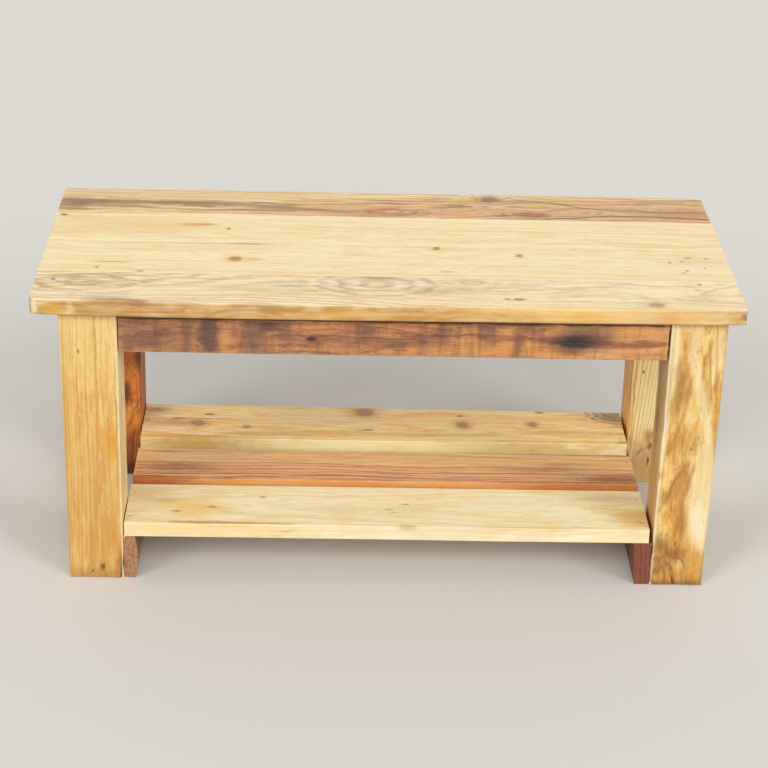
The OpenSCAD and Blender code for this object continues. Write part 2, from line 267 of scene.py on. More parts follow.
def wood(
    name, lie, box, seed, pith, pale, dark, ring=4.0, lean=(0.0, 0.0), sway=5.0, lines=0.6, fibre=0.2,
    clouds=(), specks=("7A5530", 0.35), swirls=(), bands=(), sides=(), face=None, stains=(), ribs=(),
    eyes=(), saw=None, knots=(), knot_tones=("6B4A2C", "94683C", "7A5632", "D9A866"), knot_share=0.85,
    bend=3.0, pips=(), pip_tone="3B2B20", end_tone=None, rubbed=None, gloss=0.58, relief=0.5,
):
    """Solid wood, the same on every face that cuts it.

    lie is how the timber lies, and pith is where the centre of its tree lies, across and through the
    piece. ring is the width of a year's growth, and lean how far the centre shifts with each millimetre
    along. Clouds are (colour, share, size, from, to): from and to say how much of the wood they cover.
    Knots are (along, across, half length, half width). Swirls are (along, across, half length, half
    width, how far they push the rings). Pips are small dark marks: (x, y, z, half length, half width).
    Stains are (centre, half sizes, colour, share, softness). A stain on the timber's usual face, which is
    given as (axis, level, half depth), has only the four numbers along the other two axes. Sides are
    (direction, colour, share). Bands run along the grain between two courses: (lower, upper, softness,
    pale, dark, share). Ribs are thin lines on a course: (course, half width, colour, share). A course is
    a list of (along, across). Eyes are nested ovals: (centre, half sizes, how many, colour, share).
    Pale arrises (partly wear, partly a painted highlight) and a saw's marks are (colour, share, width).
    """
    finish = Finish(name)
    along_axis, across_axis, through_axis = ("XYZ".index(a) for a in lie)

    def by_axis(along, across, through):
        out = [0.0, 0.0, 0.0]
        out[along_axis], out[across_axis], out[through_axis] = along, across, through
        return tuple(out)

    place = finish.node("TexCoord", out="Object")
    place = finish.node("VectorMath", {0: place, "Scale": 1 / MM}, operation="SCALE")
    shift = (17.3 * seed, 41.9 * seed, 29.7 * seed)

    def grain(along, across, detail=2.0, rough=0.55, out="Fac"):
        """Noise in lumps of a length along the grain and a width across it."""
        scale = by_axis(1 / along, 1 / across, 1 / across)
        return finish.noise(finish.scaled(place, scale, shift), detail, rough, out)

    # Slow sway of the whole tree, and the finer wave that knots and stains share
    slow = finish.vector("SUBTRACT", grain(286, 91, 1.0, 0.4, "Color"), (0.5, 0.5, 0.5))
    fine = finish.vector("SUBTRACT", grain(50, 11, 2.0, 0.55, "Color"), (0.5, 0.5, 0.5))
    swayed = finish.scaled(slow, (2.4 * sway,) * 3, place)
    swayed = finish.scaled(fine, by_axis(0.0, 0.55 * sway, 0.55 * sway), swayed)
    rough_place = finish.scaled(fine, by_axis(14.0, 7.0, 7.0), place)

    # Distance from the centre of the tree
    split = finish.split(swayed)
    across = split[across_axis] - (split[along_axis] * lean[0] + pith[0])
    through = split[through_axis] - (split[along_axis] * lean[1] + pith[1])
    radius = finish.node("CombineXYZ", {0: across, 1: through})
    radius = finish.vector("LENGTH", radius, out="Value")

    def nearness(spots):
        """The least distance to any of some round marks, in their own radii."""
        nearest = None
        for centre, sizes in spots:
            inverse = tuple(1 / s if s else 0.0 for s in sizes)
            offset = tuple(-c * i for c, i in zip(centre, inverse))
            reach = finish.vector("LENGTH", finish.scaled(rough_place, inverse, offset), out="Value")
            nearest = reach if nearest is None else nearest.math("MINIMUM", reach)
        return nearest

    for spot_along, spot_across, half_length, half_width, push in swirls:
        spot = (by_axis(spot_along, spot_across, 0.0), by_axis(half_length, half_width, 0.0))
        radius = radius + finish.ramp(nearness([spot]), 0.0, 1.0, push, 0.0)
    near_knot = None
    if knots:
        near_knot = nearness([(by_axis(k[0], k[1], 0.0), by_axis(k[2], k[3], 0.0)) for k in knots])
        radius = radius + finish.ramp(near_knot, 0.4, 4.2, bend, 0.0)

    # Growth rings: pale spring wood that darkens to a thin summer line, each year a little different
    years = radius / ring + grain(1000, 50, 0.0) * 1.5
    stops = [(0.0, 0.32), (0.12, 0.0), (0.5, 0.14), (0.8, 0.9), (0.9, 1.0), (1.0, 0.32)]
    stops = [(p, (v, v, v, 1)) for p, v in stops]
    summer = finish.node("ValToRGB", {"Fac": years.math("FRACT")}, stops=stops)
    year = {"W": years.math("FLOOR") + 3.7 * seed}
    vigour = finish.node("TexWhiteNoise", year, "Value", noise_dimensions="1D")
    summer = summer * (vigour * 0.75 + 0.4)
    fleck = grain(28, 1.1, 3.0, 0.6)
    hair = grain(8, 0.25, 2.0, 0.6)
    streak = grain(170, 7.0, 3.0, 0.6)
    torn = grain(16, 6.0, 5.0, 0.68) - 0.5
    lump = grain(45, 18.0, 1.0, 0.5)
    summer = summer * finish.ramp(fleck, 0.25, 0.7, 0.5, 1.15)

    pale, dark = colour(pale), colour(dark)
    grown = finish.node("Clamp", {"Value": summer * lines})
    skin = finish.blend(grown, pale, dark)

    def over(share, tone):
        """The colour so far, and by a share another over it."""
        return finish.blend(share, skin, colour(tone))

    split = finish.split(rough_place)
    wavy, wavy_across = split[along_axis], split[across_axis]
    for lower, upper, softness, band_pale, band_dark, share in bands:
        inner = finish.blend(grown, colour(band_pale), colour(band_dark))
        above = finish.ramp(wavy_across - finish.course(wavy, lower), -softness, softness)
        below = finish.ramp(finish.course(wavy, upper) - wavy_across, -softness, softness)
        skin = finish.blend(above * below * share, skin, inner)
    for tone, share, sizes, start, end in clouds:
        cloud = finish.scaled(rough_place, by_axis(*(1 / s for s in sizes)), shift)
        cloud = finish.noise(cloud, 4.0, 0.6)
        skin = over(finish.ramp(cloud, start, end, 0.0, share), tone)

    facing = finish.node("NewGeometry", out="Normal")
    for direction, tone, share in sides:
        turned = finish.vector("DOT_PRODUCT", facing, direction, out="Value")
        turned = finish.ramp(turned, 0.35, 0.85, 0.0, share) * finish.ramp(streak, 0.36, 0.6, 0.75, 1.05)
        turned = turned * finish.ramp(lump, 0.34, 0.62, 0.66, 1.15)
        skin = over(turned, tone)
    for *spot, tone, share, softness in stains:
        if len(spot) > 2:
            axis, level, depth = face
            spot = [spot[:2], spot[2:]]
            spot[0].insert("XYZ".index(axis), level)
            spot[1].insert("XYZ".index(axis), depth)
        edge = nearness([spot]) + torn * (1.6 * softness)
        mask = finish.ramp(edge, 1.0 + softness, 1.0 - softness, 0.0, share)
        skin = over(mask * (fleck * 0.7 + 0.65), tone)
    for places, half_width, tone, share in ribs:
        off = wavy_across - finish.course(wavy, places) + torn * half_width
        start, end = places[0][0], places[-1][0]
        inside = finish.ramp(wavy, start - 8, start + 8) * finish.ramp(wavy, end + 8, end - 8)
        drawn = finish.ramp(off.math("ABSOLUTE"), half_width, 0.25 * half_width, 0.0, share)
        skin = over(drawn * inside * (fleck * 0.8 + 0.6), tone)
    for centre, sizes, count, tone, share in eyes:
        reach = nearness([(centre, sizes)])
        wander = torn * 0.7 + (streak - 0.5) * 1.4
        oval = (reach * count + wander).math("FRACT")
        drawn = finish.ramp(oval, 0.25, 0.78) * finish.ramp(oval, 1.0, 0.84)
        drawn = drawn * finish.ramp(reach, 1.05, 0.7, 0.0, share)
        drawn = drawn * finish.ramp(lump, 0.3, 0.6, 0.4, 1.0)
        skin = over(drawn * (fleck * 0.8 + 0.6), tone)
    if saw:
        tone, share, width = saw
        kerf = grain(width, 70, 2.0, 0.55) + torn * 0.16
        skin = over(finish.ramp(kerf, 0.46, 0.66, 0.0, share), tone)

    # Fibres, pores and fine streaks over everything
    streaks = finish.ramp(streak, 0.38, 0.66) * 0.75 + finish.ramp(fleck, 0.42, 0.72) * 0.55
    shaded = finish.blend(1.0, skin, finish.blend(0.55, dark, (1.0, 1.0, 1.0, 1.0)), "MULTIPLY")
    skin = finish.blend(streaks * fibre, skin, shaded)
    skin = finish.blend(finish.ramp(hair, 0.5, 0.8, 0.0, 0.5 * fibre), skin, shaded)
    tone, share = specks
    pores = finish.ramp(grain(11, 1.5, 3.0, 0.7), 0.6, 0.74, 0.0, share)
    skin = finish.blend(pores, skin, finish.blend(1.0, skin, colour(tone), "MULTIPLY"))

    if knots:
        core, body, rim, halo = (colour(tone) for tone in knot_tones)
        eye_place = near_knot + torn * 1.1
        skin = finish.blend(finish.ramp(eye_place, 2.8, 0.8, 0.0, 0.6), skin, halo)
        tones = [(0.0, core), (0.3, body), (0.62, body), (0.9, rim), (1.0, rim)]
        eye = finish.node("ValToRGB", {"Fac": eye_place}, stops=tones)
        knot_year = (near_knot * 4.0 + torn * 2.0).math("FRACT")
        eye = finish.blend(finish.ramp(knot_year, 0.35, 0.9, 0.0, 0.4), eye, core)
        skin = finish.blend(finish.ramp(eye_place, 1.3, 0.6, 0.0, knot_share), skin, eye)
    if pips:
        spots = []
        for x, y, z, half_length, half_width in pips:
            spots.append(((x, y, z), by_axis(half_length, half_width, half_width)))
        mark = finish.ramp(nearness(spots) + torn * 0.8, 1.4, 0.4, 0.0, 0.8)
        skin = over(mark, pip_tone)

    ends = finish.vector("DOT_PRODUCT", facing, by_axis(1.0, 0.0, 0.0), out="Value")
    ends = finish.ramp(ends.math("ABSOLUTE"), 0.55, 0.9)
    if end_tone:
        skin = over(ends * (0.35 + fleck * 0.6), end_tone)
    # Pale arrises: partly wear, partly a painted highlight where the rounded arrises catch the light
    if rubbed:
        tone, share, width = rubbed
        low, high = box
        gap = finish.vector("SUBTRACT", place, tuple((low + high) / 2))
        gap = finish.vector("SUBTRACT", tuple((high - low) / 2), finish.vector("ABSOLUTE", gap))
        split = finish.split(gap)
        gap = split[across_axis].math("MAXIMUM", split[through_axis])
        worn = finish.ramp(gap + (fleck - 0.5) * 3.0 + torn * 3.0, 0.3 * width, width, share, 0.0)
        skin = over(worn, tone)

    height = summer * 0.5 + fleck * 0.7 + hair * 0.5
    if knots:
        height = height + finish.ramp(near_knot, 1.25, 0.95, 0.0, -0.8)
    bump = finish.node("Bump", {"Strength": relief, "Distance": 0.0005, "Height": height}, "Normal")
    return finish.surface(skin, gloss + (fleck - 0.5) * 0.25 + ends * 0.15, bump)


# Milling: timbers as dense blocks with eased, worn arrises


def stock(node):
    """The lowest and highest corner of a CAD node."""
    low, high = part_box(node)
    return (np.array(low) / MM).round(2), (np.array(high) / MM).round(2)


def lattice(ix, iy, iz, seed):
    """A repeatable random number from 0 to 1 for each point of a lattice."""
    mixed = (ix * 374761393 + iy * 668265263 + iz * 1442695041 + seed * 1274126177) & 0xFFFFFFFF
    mixed = ((mixed ^ (mixed >> 13)) * 1274126177) & 0xFFFFFFFF
    return ((mixed ^ (mixed >> 16)) & 0xFFFF) / 65535.0


def lumps(points, size, seed):
    """Smooth random numbers from -1 to 1 at some points: size is the length of a lump along each axis."""
    cell = points / np.array(size, float)
    base = np.floor(cell).astype(np.int64)
    turn = cell - base
    turn = turn * turn * (3 - 2 * turn)
    total = np.zeros(len(points))
    for corner in itertools.product((0, 1), repeat=3):
        weight = np.prod(np.where(np.array(corner, bool), turn, 1 - turn), axis=1)
        total += weight * lattice(*(base + np.array(corner)).T, seed)
    return 2 * total - 1


def smooth(value, start, end):
    """0 below start and 1 above end, with a smooth turn between them."""
    t = np.clip((value - start) / (end - start), 0, 1)
    return t * t * (3 - 2 * t)


def grid_lines(low, high, step, extra=()):
    """Where a block is cut along one axis: closely by its arrises and round a mark, else at each step."""
    margin = np.array([0, 0.4, 0.9, 1.6, 2.5, 3.8, 5.6])
    span = high - low
    reach = min(margin[-1], span / 3)
    margin = margin[margin <= reach]
    count = max(2, int(round((span - 2 * margin[-1]) / step)) + 1)
    inner = np.linspace(low + margin[-1], high - margin[-1], count)
    marks = [place + np.linspace(-half, half, parts) for place, half, parts in extra]
    places = np.unique(np.concatenate([low + margin, inner, high - margin, *marks]).round(4))
    places = places[(places >= low) & (places <= high)]
    kept = [places[0]]
    for place in places[1:-1]:
        if place - kept[-1] > 0.28 and high - place > 0.28:
            kept.append(place)
    return np.array(kept + [places[-1]])


def block(lines):
    """The skin of a box cut along three sets of grid lines: its points and its quads, facing outwards."""
    shell = np.ones([len(places) for places in lines], bool)
    shell[1:-1, 1:-1, 1:-1] = False
    number = np.full(shell.shape, -1)
    number[shell] = np.arange(shell.sum())
    cells = np.argwhere(shell)
    points = np.column_stack([lines[a][cells[:, a]] for a in range(3)])
    quads = []
    for axis in range(3):
        for end in (0, -1):
            sheet = np.take(number, end, axis=axis)
            ring = [sheet[:-1, :-1], sheet[1:, :-1], sheet[1:, 1:], sheet[:-1, 1:]]
            if (end == 0) != (axis == 1):
                ring.reverse()
            quads.append(np.stack([r.ravel() for r in ring], axis=1))
    return points, np.concatenate(quads)


def timber_mesh(name, points, quads):
    """A smooth mesh of quads, from points in millimetres."""
    mesh = bpy.data.meshes.new(name)
    mesh.vertices.add(len(points))
    mesh.vertices.foreach_set("co", (points * MM).astype(np.float32).ravel())
    mesh.loops.add(quads.size)
    mesh.loops.foreach_set("vertex_index", quads.ravel().astype(np.int32))
    mesh.polygons.add(len(quads))
    mesh.polygons.foreach_set("loop_start", np.arange(0, quads.size, 4, dtype=np.int32))
    mesh.polygons.foreach_set("use_smooth", np.ones(len(quads), bool))
    mesh.update(calc_edges=True)
    mesh.validate()
    return mesh


def mill(
    name, lie, low, high, seed, step=(5.0, 4.0, 4.0), arris=(2.0, 2.0), worn=0.35, end_arris=0.8,
    hollows=0.2, ripple=0.0, ragged=0.25, dents=(), splits=(), holes=(), reshape=None,
):
    """Makes a timber as a dense mesh between two corners, with eased and worn arrises.

    arris is the radius of the long arrises on the low and on the high side, across the grain. Dents are
    (x, y, z, half width, depth). Splits are (face axis, face side, places across at start and end, start,
    end, half width, depth). Holes are the fasteners' pockets: (axis, side, centre, radius, depth).
    """
    order = ["XYZ".index(a) for a in lie]
    along, across = order[:2]
    extra = [[], [], []]
    for face, side, places, start, end, half, depth in splits:
        crosswise = ({0, 1, 2} - {along, face}).pop()
        reach = abs(places[1] - places[0]) / 2 + 2.5 * half + 1.0
        extra[crosswise].append((sum(places) / 2, reach, int(reach / 0.35)))
        near = start + 0.15 * (end - start)
        extra[along].append(((start + near) / 2, abs(near - start) / 2, 8))
    for face, side, centre, radius, depth in holes:
        for axis in {0, 1, 2} - {face}:
            extra[axis].append((centre[axis], radius + 0.8, 15))
    for x, y, z, half, depth in dents:
        for axis, place in enumerate((x, y, z)):
            if half < 5 and axis != along:
                extra[axis].append((place, half, 5))
    spacing = [0.0, 0.0, 0.0]
    for axis, length in zip(order, step):
        spacing[axis] = length
    lines = [grid_lines(low[a], high[a], spacing[a], extra[a]) for a in range(3)]
    points, quads = block(lines)

    def waves(length, width, seed):
        """Lumps of a length along the grain and a width across it."""
        return lumps(points, np.where(np.arange(3) == along, length, width), seed)

    near_end = np.minimum(points[:, along] - low[along], high[along] - points[:, along])
    middle = (low[across] + high[across]) / 2
    radius = np.where(points[:, across] < middle, arris[0], arris[1])
    radius = radius * (1 + worn * waves(60.0, 9.0, seed)) + 0.1 * worn
    radius = end_arris + (radius - end_arris) * smooth(near_end, 0.0, 5.0)
    radius = np.minimum(radius, (high - low).min() * 0.45)[:, None]
    core = np.clip(points, low + radius, high - radius)
    out = points - core
    out /= np.linalg.norm(out, axis=1)[:, None]
    points = core + out * radius

    push = hollows * (waves(150.0, 34.0, seed + 11) - 0.6)
    push += 0.25 * hollows * waves(22.0, 5.0, seed + 23)
    if ripple:
        push += ripple * waves(3.4, 70.0, seed + 37)
    on_end = np.abs(out[:, along]) > 0.7
    push += np.where(on_end, ragged * (waves(4.0, 4.0, seed + 41) - 0.8), 0.0)
    for face, side, centre, hole_radius, depth in holes:
        offset = points - np.array(centre)
        offset[:, face] = 0
        inside = 1 - smooth(np.linalg.norm(offset, axis=1), hole_radius, hole_radius + 0.5)
        push -= depth * inside * (out[:, face] * side > 0.9)
    for x, y, z, half, depth in dents:
        reach = np.linalg.norm((points - (x, y, z)) / half, axis=1)
        push -= depth * np.exp(-(reach**2))
    for face, side, places, start, end, half, depth in splits:
        crosswise = ({0, 1, 2} - {along, face}).pop()
        run = (points[:, along] - start) / (end - start)
        taper = np.clip(1 - run, 0, 1) ** 0.6 * (run > -0.05)
        wave = 0.8 * half * lumps(points * (np.arange(3) == along), (14.0,) * 3, seed + 53)
        course = places[0] + (places[1] - places[0]) * run + wave * np.clip(run * 3, 0, 1.5)
        off = np.abs(points[:, crosswise] - course)
        deep = (high[face] - points[:, face]) if side > 0 else (points[:, face] - low[face])
        groove = np.clip(1 - off / (half * taper + 0.05), 0, 1) ** 0.5
        push -= depth * taper * groove * np.clip(1 - deep / (2.2 * depth), 0, 1)
    points = points + out * push[:, None]
    if reshape:
        points = reshape(points)
    points[:, 2] = np.maximum(points[:, 2], 0.0)
    return timber_mesh(name, points, quads)


# Fasteners: their places come from the solids of the CAD model


def loose_parts(node):
    """The points of each separate solid in a CAD node, in an order that never changes."""
    cad = bmesh.new()
    cad.from_mesh(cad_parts[node].data)
    bmesh.ops.remove_doubles(cad, verts=cad.verts, dist=0.01 * MM)
    waiting = set(cad.verts)
    parts = []
    while waiting:
        found = [waiting.pop()]
        for vert in found:
            near = {edge.other_vert(vert) for edge in vert.link_edges} & waiting
            found.extend(near)
            waiting -= near
        parts.append(np.array([vert.co for vert in found]) / MM)
    cad.free()
    return sorted(parts, key=lambda points: tuple(points.min(axis=0).round(1)))


def driven(node):
    """Each fastener of a CAD node: the middle of its head's face, its axis, its way in and its length."""
    found = []
    for points in loose_parts(node):
        low, high = points.min(axis=0), points.max(axis=0)
        axis = int(np.argmax(high - low))
        middle = (low + high) / 2
        off = np.linalg.norm(np.delete(points - middle, axis, axis=1), axis=1)
        from_low = points[:, axis] < middle[axis]
        way = 1 if off[from_low].max() > off[~from_low].max() else -1
        head = middle.copy()
        head[axis] = low[axis] if way > 0 else high[axis]
        found.append((head, axis, way, high[axis] - low[axis]))
    return found


SCREWS = ("top_screws", "top_bearer_screws", "shelf_bearer_screws")
NAILS = ("shelf_nails",)
# The radius of the pocket in which a head lies
SCREW_POCKET = 4.3
NAIL_POCKET = 2.1
HEADS = [head + (SCREW_POCKET,) for node in SCREWS for head in driven(node)]
HEADS += [head + (NAIL_POCKET,) for node in NAILS for head in driven(node)]


def pockets(low, high):
    """The pocket in a timber for each head that it holds, a little wider and deeper than the head."""
    found = []
    for head, axis, way, _, radius in HEADS:
        if (head > low - 0.5).all() and (head < high + 0.5).all():
            depth = head[axis] - low[axis] if way > 0 else high[axis] - head[axis]
            found.append((axis, -way, tuple(head), radius, depth + 0.15 * radius))
    return found


class Jig(Tree):
    """A geometry tree that sets one shape at every point of a mesh, aimed as that point says."""

    def __init__(self, name):
        super().__init__(bpy.data.node_groups.new(name, "GeometryNodeTree"), "GeometryNode")
        sizes = ("Length", "Shank", "Head")
        kinds = {"Points": "Geometry", **dict.fromkeys(sizes, "Float"), "Material": "Material"}
        sockets = [("Geometry", "OUTPUT", "Geometry")]
        sockets += [(given, "INPUT", kind) for given, kind in kinds.items()]
        for socket, way, kind in sockets:
            self.tree.interface.new_socket(socket, in_out=way, socket_type=f"NodeSocket{kind}")
        self.given = self.node("NodeGroupInput")
        self.length, self.shank, self.head = (self.given.part(size) for size in sizes)

    def cone(self, sides, start, end, depth, place=0.0):
        """A cone or a round bar along Z, from one radius to another."""
        inputs = {"Vertices": sides, "Radius Bottom": start, "Radius Top": end, "Depth": depth}
        return self.lifted(self.node("MeshCone", inputs, fill_type="NGON"), place)

    def lifted(self, shape, height):
        """A shape moved along Z."""
        lift = self.node("ShaderNodeCombineXYZ", {"Z": height})
        return self.node("Transform", {"Geometry": shape, "Translation": lift})

    def finish(self, shape, seed):
        """Sets the shape at the points, each with a turn of its own, and makes it one plain mesh."""
        aim = self.node("InputNamedAttribute", {"Name": "aim"}, data_type="FLOAT_VECTOR")
        aimed = self.node("FunctionNodeAlignRotationToVector", {"Vector": aim}, axis="Z")
        turn = self.node("FunctionNodeRandomValue", {3: math.tau, "Seed": seed}, 1, data_type="FLOAT")
        turn = self.node("FunctionNodeAxisAngleToRotation", {"Axis": (0, 0, 1), "Angle": turn})
        inputs = {"Rotation": aimed, "Rotate By": turn}
        turned = self.node("FunctionNodeRotateRotation", inputs, rotation_space="LOCAL")
        inputs = {"Points": self.given.part("Points"), "Instance": shape, "Rotation": turned}
        made = self.node("RealizeInstances", {"Geometry": self.node("InstanceOnPoints", inputs)})
        made = self.node("SetMaterial", {"Geometry": made, "Material": self.given.part("Material")})
        end = self.tree.nodes.new("NodeGroupOutput")
        self.tree.links.new(made.socket, end.inputs["Geometry"])


def screw_jig(seed):
    """A countersunk screw: a head with a cross recess, a tapering core and a thread."""
    jig = Jig("screw_jig")
    length, shank, head = jig.length, jig.shank, jig.head
    arms = []
    for long_way, short_way in (("X", "Y"), ("Y", "X")):
        size = {long_way: head * 1.1, short_way: head * 0.24, "Z": head * 0.7}
        arms.append(jig.node("MeshCube", {"Size": jig.node("ShaderNodeCombineXYZ", size)}))
    blank = jig.cone(28, head, shank, head * 0.62)
    recessed = jig.node("MeshBoolean", {"Mesh 1": blank, "Mesh 2": arms}, operation="DIFFERENCE")
    core = jig.cone(10, shank * 0.75, shank * 0.2, length * 0.98 - head * 0.5, head * 0.5)
    coil = {"Resolution": 9, "Start Radius": shank * 0.85, "End Radius": shank * 0.45}
    coil.update({"Rotations": length / shank * 0.7, "Height": length * 0.6})
    coil = jig.lifted(jig.node("CurveSpiral", coil), length * 0.36)
    edge = jig.node("CurvePrimitiveCircle", {"Resolution": 3, "Radius": shank * 0.16})
    thread = jig.node("CurveToMesh", {"Curve": coil, "Profile Curve": edge, "Fill Caps": True})
    jig.finish(jig.node("JoinGeometry", {"Geometry": [recessed, core, thread]}), seed)
    return jig


def nail_jig(seed):
    """A small-headed nail with a chisel-round point."""
    jig = Jig("nail_jig")
    length, shank, head = jig.length, jig.shank, jig.head
    crown = jig.cone(20, head * 0.86, head, head * 0.16)
    rim = jig.cone(20, head, head * 0.9, head * 0.4, head * 0.16)
    bar = jig.cone(12, shank, shank, length * 0.9 - head * 0.3, head * 0.3)
    point = jig.cone(12, shank, shank * 0.15, length * 0.1, length * 0.9)
    jig.finish(jig.node("JoinGeometry", {"Geometry": [crown, rim, bar, point]}), seed)
    return jig


def dowel_jig(seed):
    """A dowel with flutes along it for the glue."""
    jig = Jig("dowel_jig")
    ring = jig.node("CurvePrimitiveCircle", {"Resolution": 42, "Radius": jig.shank})
    flute = jig.node("InputIndex").math("MODULO", 3).math("LESS_THAN", 0.5)
    inputs = {0: jig.node("InputPosition"), "Scale": 1 - flute * 0.09}
    place = jig.node("ShaderNodeVectorMath", inputs, operation="SCALE")
    ring = jig.node("SetPosition", {"Geometry": ring, "Position": place})
    line = jig.node("CurvePrimitiveLine", {"End": jig.node("ShaderNodeCombineXYZ", {"Z": jig.length})})
    inputs = {"Curve": line, "Profile Curve": ring, "Fill Caps": True}
    jig.finish(jig.node("CurveToMesh", inputs), seed)
    return jig


def put_in_place(name, mesh, node):
    """Lets a mesh ride on the table as a piece in place of a CAD node."""
    piece = added(name, mesh)
    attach(piece, "root")
    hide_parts(node)


def drive(node, jig, material, shank, head):
    """Makes all the fasteners of a CAD node with a jig, and lets them ride on the table."""
    places = driven(node)
    mesh = bpy.data.meshes.new(f"{node}_places")
    mesh.from_pydata([tuple(place * MM) for place, _, _, _ in places], [], [])
    aims = mesh.attributes.new("aim", "FLOAT_VECTOR", "POINT")
    for point, (_, axis, way, _) in zip(aims.data, places):
        point.vector = [float(way) if a == axis else 0.0 for a in range(3)]
    pattern = added(f"{node}_places", mesh)
    modifier = pattern.modifiers.new("jig", "NODES")
    modifier.node_group = jig.tree
    length = min(length for _, _, _, length in places)
    given = {"Length": length * MM, "Shank": shank * MM, "Head": head * MM, "Material": material}
    for item in jig.tree.interface.items_tree:
        if item.in_out == "INPUT" and item.name in given:
            modifier[item.identifier] = given[item.name]
    view = bpy.context.evaluated_depsgraph_get()
    made = bpy.data.meshes.new_from_object(pattern.evaluated_get(view), depsgraph=view)
    bpy.data.objects.remove(pattern)
    put_in_place(f"{node}_set", made, node)


def mottled(name, scale, rough, start, end, first, second):
    """Starts a small piece's finish in two colours. Gives the finish, its clouds and their colour."""
    finish = Finish(name)
    cloud = finish.noise(finish.scaled(finish.node("TexCoord", out="Object"), scale), 3.0, rough)
    return finish, cloud, finish.blend(finish.ramp(cloud, start, end), colour(first), colour(second))


def zinc_steel():
    """Zinc plated screws, dulled and a little stained."""
    finish, cloud, skin = mottled("zinc_steel", (900.0,) * 3, 0.6, 0.42, 0.66, "B9B5A8", "8F8672")
    grain = finish.scaled(finish.node("TexCoord", out="Object"), (5200.0,) * 3)
    height = {"Strength": 0.25, "Distance": 0.0001, "Height": finish.noise(grain, 2.0, 0.6)}
    return finish.surface(skin, 0.34 + cloud * 0.2, finish.node("Bump", height, "Normal"), metal=0.9)


def dark_nail():
    """Bright nails gone brown in the damp."""
    finish, cloud, skin = mottled("dark_nail", (1500.0,) * 3, 0.65, 0.4, 0.62, "57504A", "4A2E1E")
    bump = finish.node("Bump", {"Strength": 0.4, "Distance": 0.0001, "Height": cloud}, "Normal")
    return finish.surface(skin, 0.5 + cloud * 0.3, bump, finish.ramp(cloud, 0.4, 0.62, 0.75, 0.1))


def dowel_wood():
    """Plain beech, flecked."""
    finish, fleck, skin = mottled("dowel_wood", (600.0, 600.0, 1500.0), 0.6, 0.4, 0.7, "DDBF92", "B98F60")
    bump = finish.node("Bump", {"Strength": 0.3, "Distance": 0.0002, "Height": fleck}, "Normal")
    return finish.surface(skin, 0.6 + fleck * 0.1, bump)


def timber(node, slot, lie, seed, shape, blank=None, **looks):
    """Makes a timber in place of a CAD node. shape holds what mill is told, and looks what wood is told."""
    low, high = blank or stock(node)
    mesh = mill(node, lie, low, high, seed, holes=pockets(low, high), **shape)
    mesh.materials.append(wood(f"{slot}_{node}", lie, (low, high), seed, **looks))
    put_in_place(f"{node}_timber", mesh, node)


place_camera()
build_studio()


# The top: four boards glued edge to edge


def top_blank(front, rear):
    """A straight blank for a top board, as wide as the board is at its left end."""
    low, high = stock("top_board_front")
    return np.array([low[0], front[0], low[2]]), np.array([high[0], rear[0], high[2]])


def between_seams(points, front, rear):
    """Lays a straight blank between two seams that run a little askew."""
    share = (points[:, 1] - front[0]) / (rear[0] - front[0])
    run = (points[:, 0] + TOP_HALF_LENGTH) / (2 * TOP_HALF_LENGTH)
    front_line = front[0] + (front[1] - front[0]) * run
    rear_line = rear[0] + (rear[1] - rear[0]) * run
    points[:, 1] = front_line + share * (rear_line - front_line)
    return points


def round_corner(points, axes, corner, inward, radius):
    """Rounds a corner as seen along the third axis. inward points from the corner into the timber."""
    inward = np.array(inward)
    hub = np.array(corner) + inward * radius
    offset = (points[:, axes] - hub) * -inward
    inside = np.flatnonzero((offset > 0).all(axis=1))
    reach = offset[inside]
    scale = reach.max(axis=1) / np.maximum(np.linalg.norm(reach, axis=1), 1e-9)
    points[np.ix_(inside, axes)] = hub - inward * reach * scale[:, None]
    return points


def bowed(points, course, start, end):
    """Pushes points back by a course along X, not at all where they lie at start and fully at end."""
    share = np.clip((points[:, 1] - start) / (end - start), 0, 1)
    points[:, 1] += share**2 * np.interp(points[:, 0], *zip(*course))
    return points


FRONT_EDGE = (-TOP_HALF_DEPTH, -TOP_HALF_DEPTH)
REAR_EDGE = (TOP_HALF_DEPTH, TOP_HALF_DEPTH)
SEAM_ARRIS = 0.35
TOP_Z = 450.0
FRONT_BOW = [(-500, 5), (-450, 2), (-330, -1.5), (-130, -2), (80, 0), (290, 1.8), (430, 3), (500, 6.5)]
REAR_BOW = [(-500, -2), (-440, 0), (80, 0), (255, 4), (400, 3), (470, 1), (500, -3)]


def front_board_shape(points):
    """Bowed along the front edge, with a round corner at the left and a smaller one at the right."""
    points = between_seams(points, FRONT_EDGE, FRONT_SEAM)
    points = round_corner(points, [0, 1], (-TOP_HALF_LENGTH, -TOP_HALF_DEPTH), (1, 1), 12.0)
    points = round_corner(points, [0, 1], (TOP_HALF_LENGTH, -TOP_HALF_DEPTH), (-1, 1), 5.0)
    return bowed(points, FRONT_BOW, -150.0, -TOP_HALF_DEPTH)


def rear_board_shape(points):
    """Bowed along the rear edge, with two round corners, and a little short at the right."""
    points = between_seams(points, REAR_SEAM, REAR_EDGE)
    points = round_corner(points, [0, 1], (TOP_HALF_LENGTH, TOP_HALF_DEPTH), (-1, -1), 9.0)
    points = round_corner(points, [0, 1], (-TOP_HALF_LENGTH, TOP_HALF_DEPTH), (1, -1), 9.0)
    points[:, 0] -= 1.5 * smooth(points[:, 0], 440.0, 500.0)
    return bowed(points, REAR_BOW, 150.0, TOP_HALF_DEPTH)


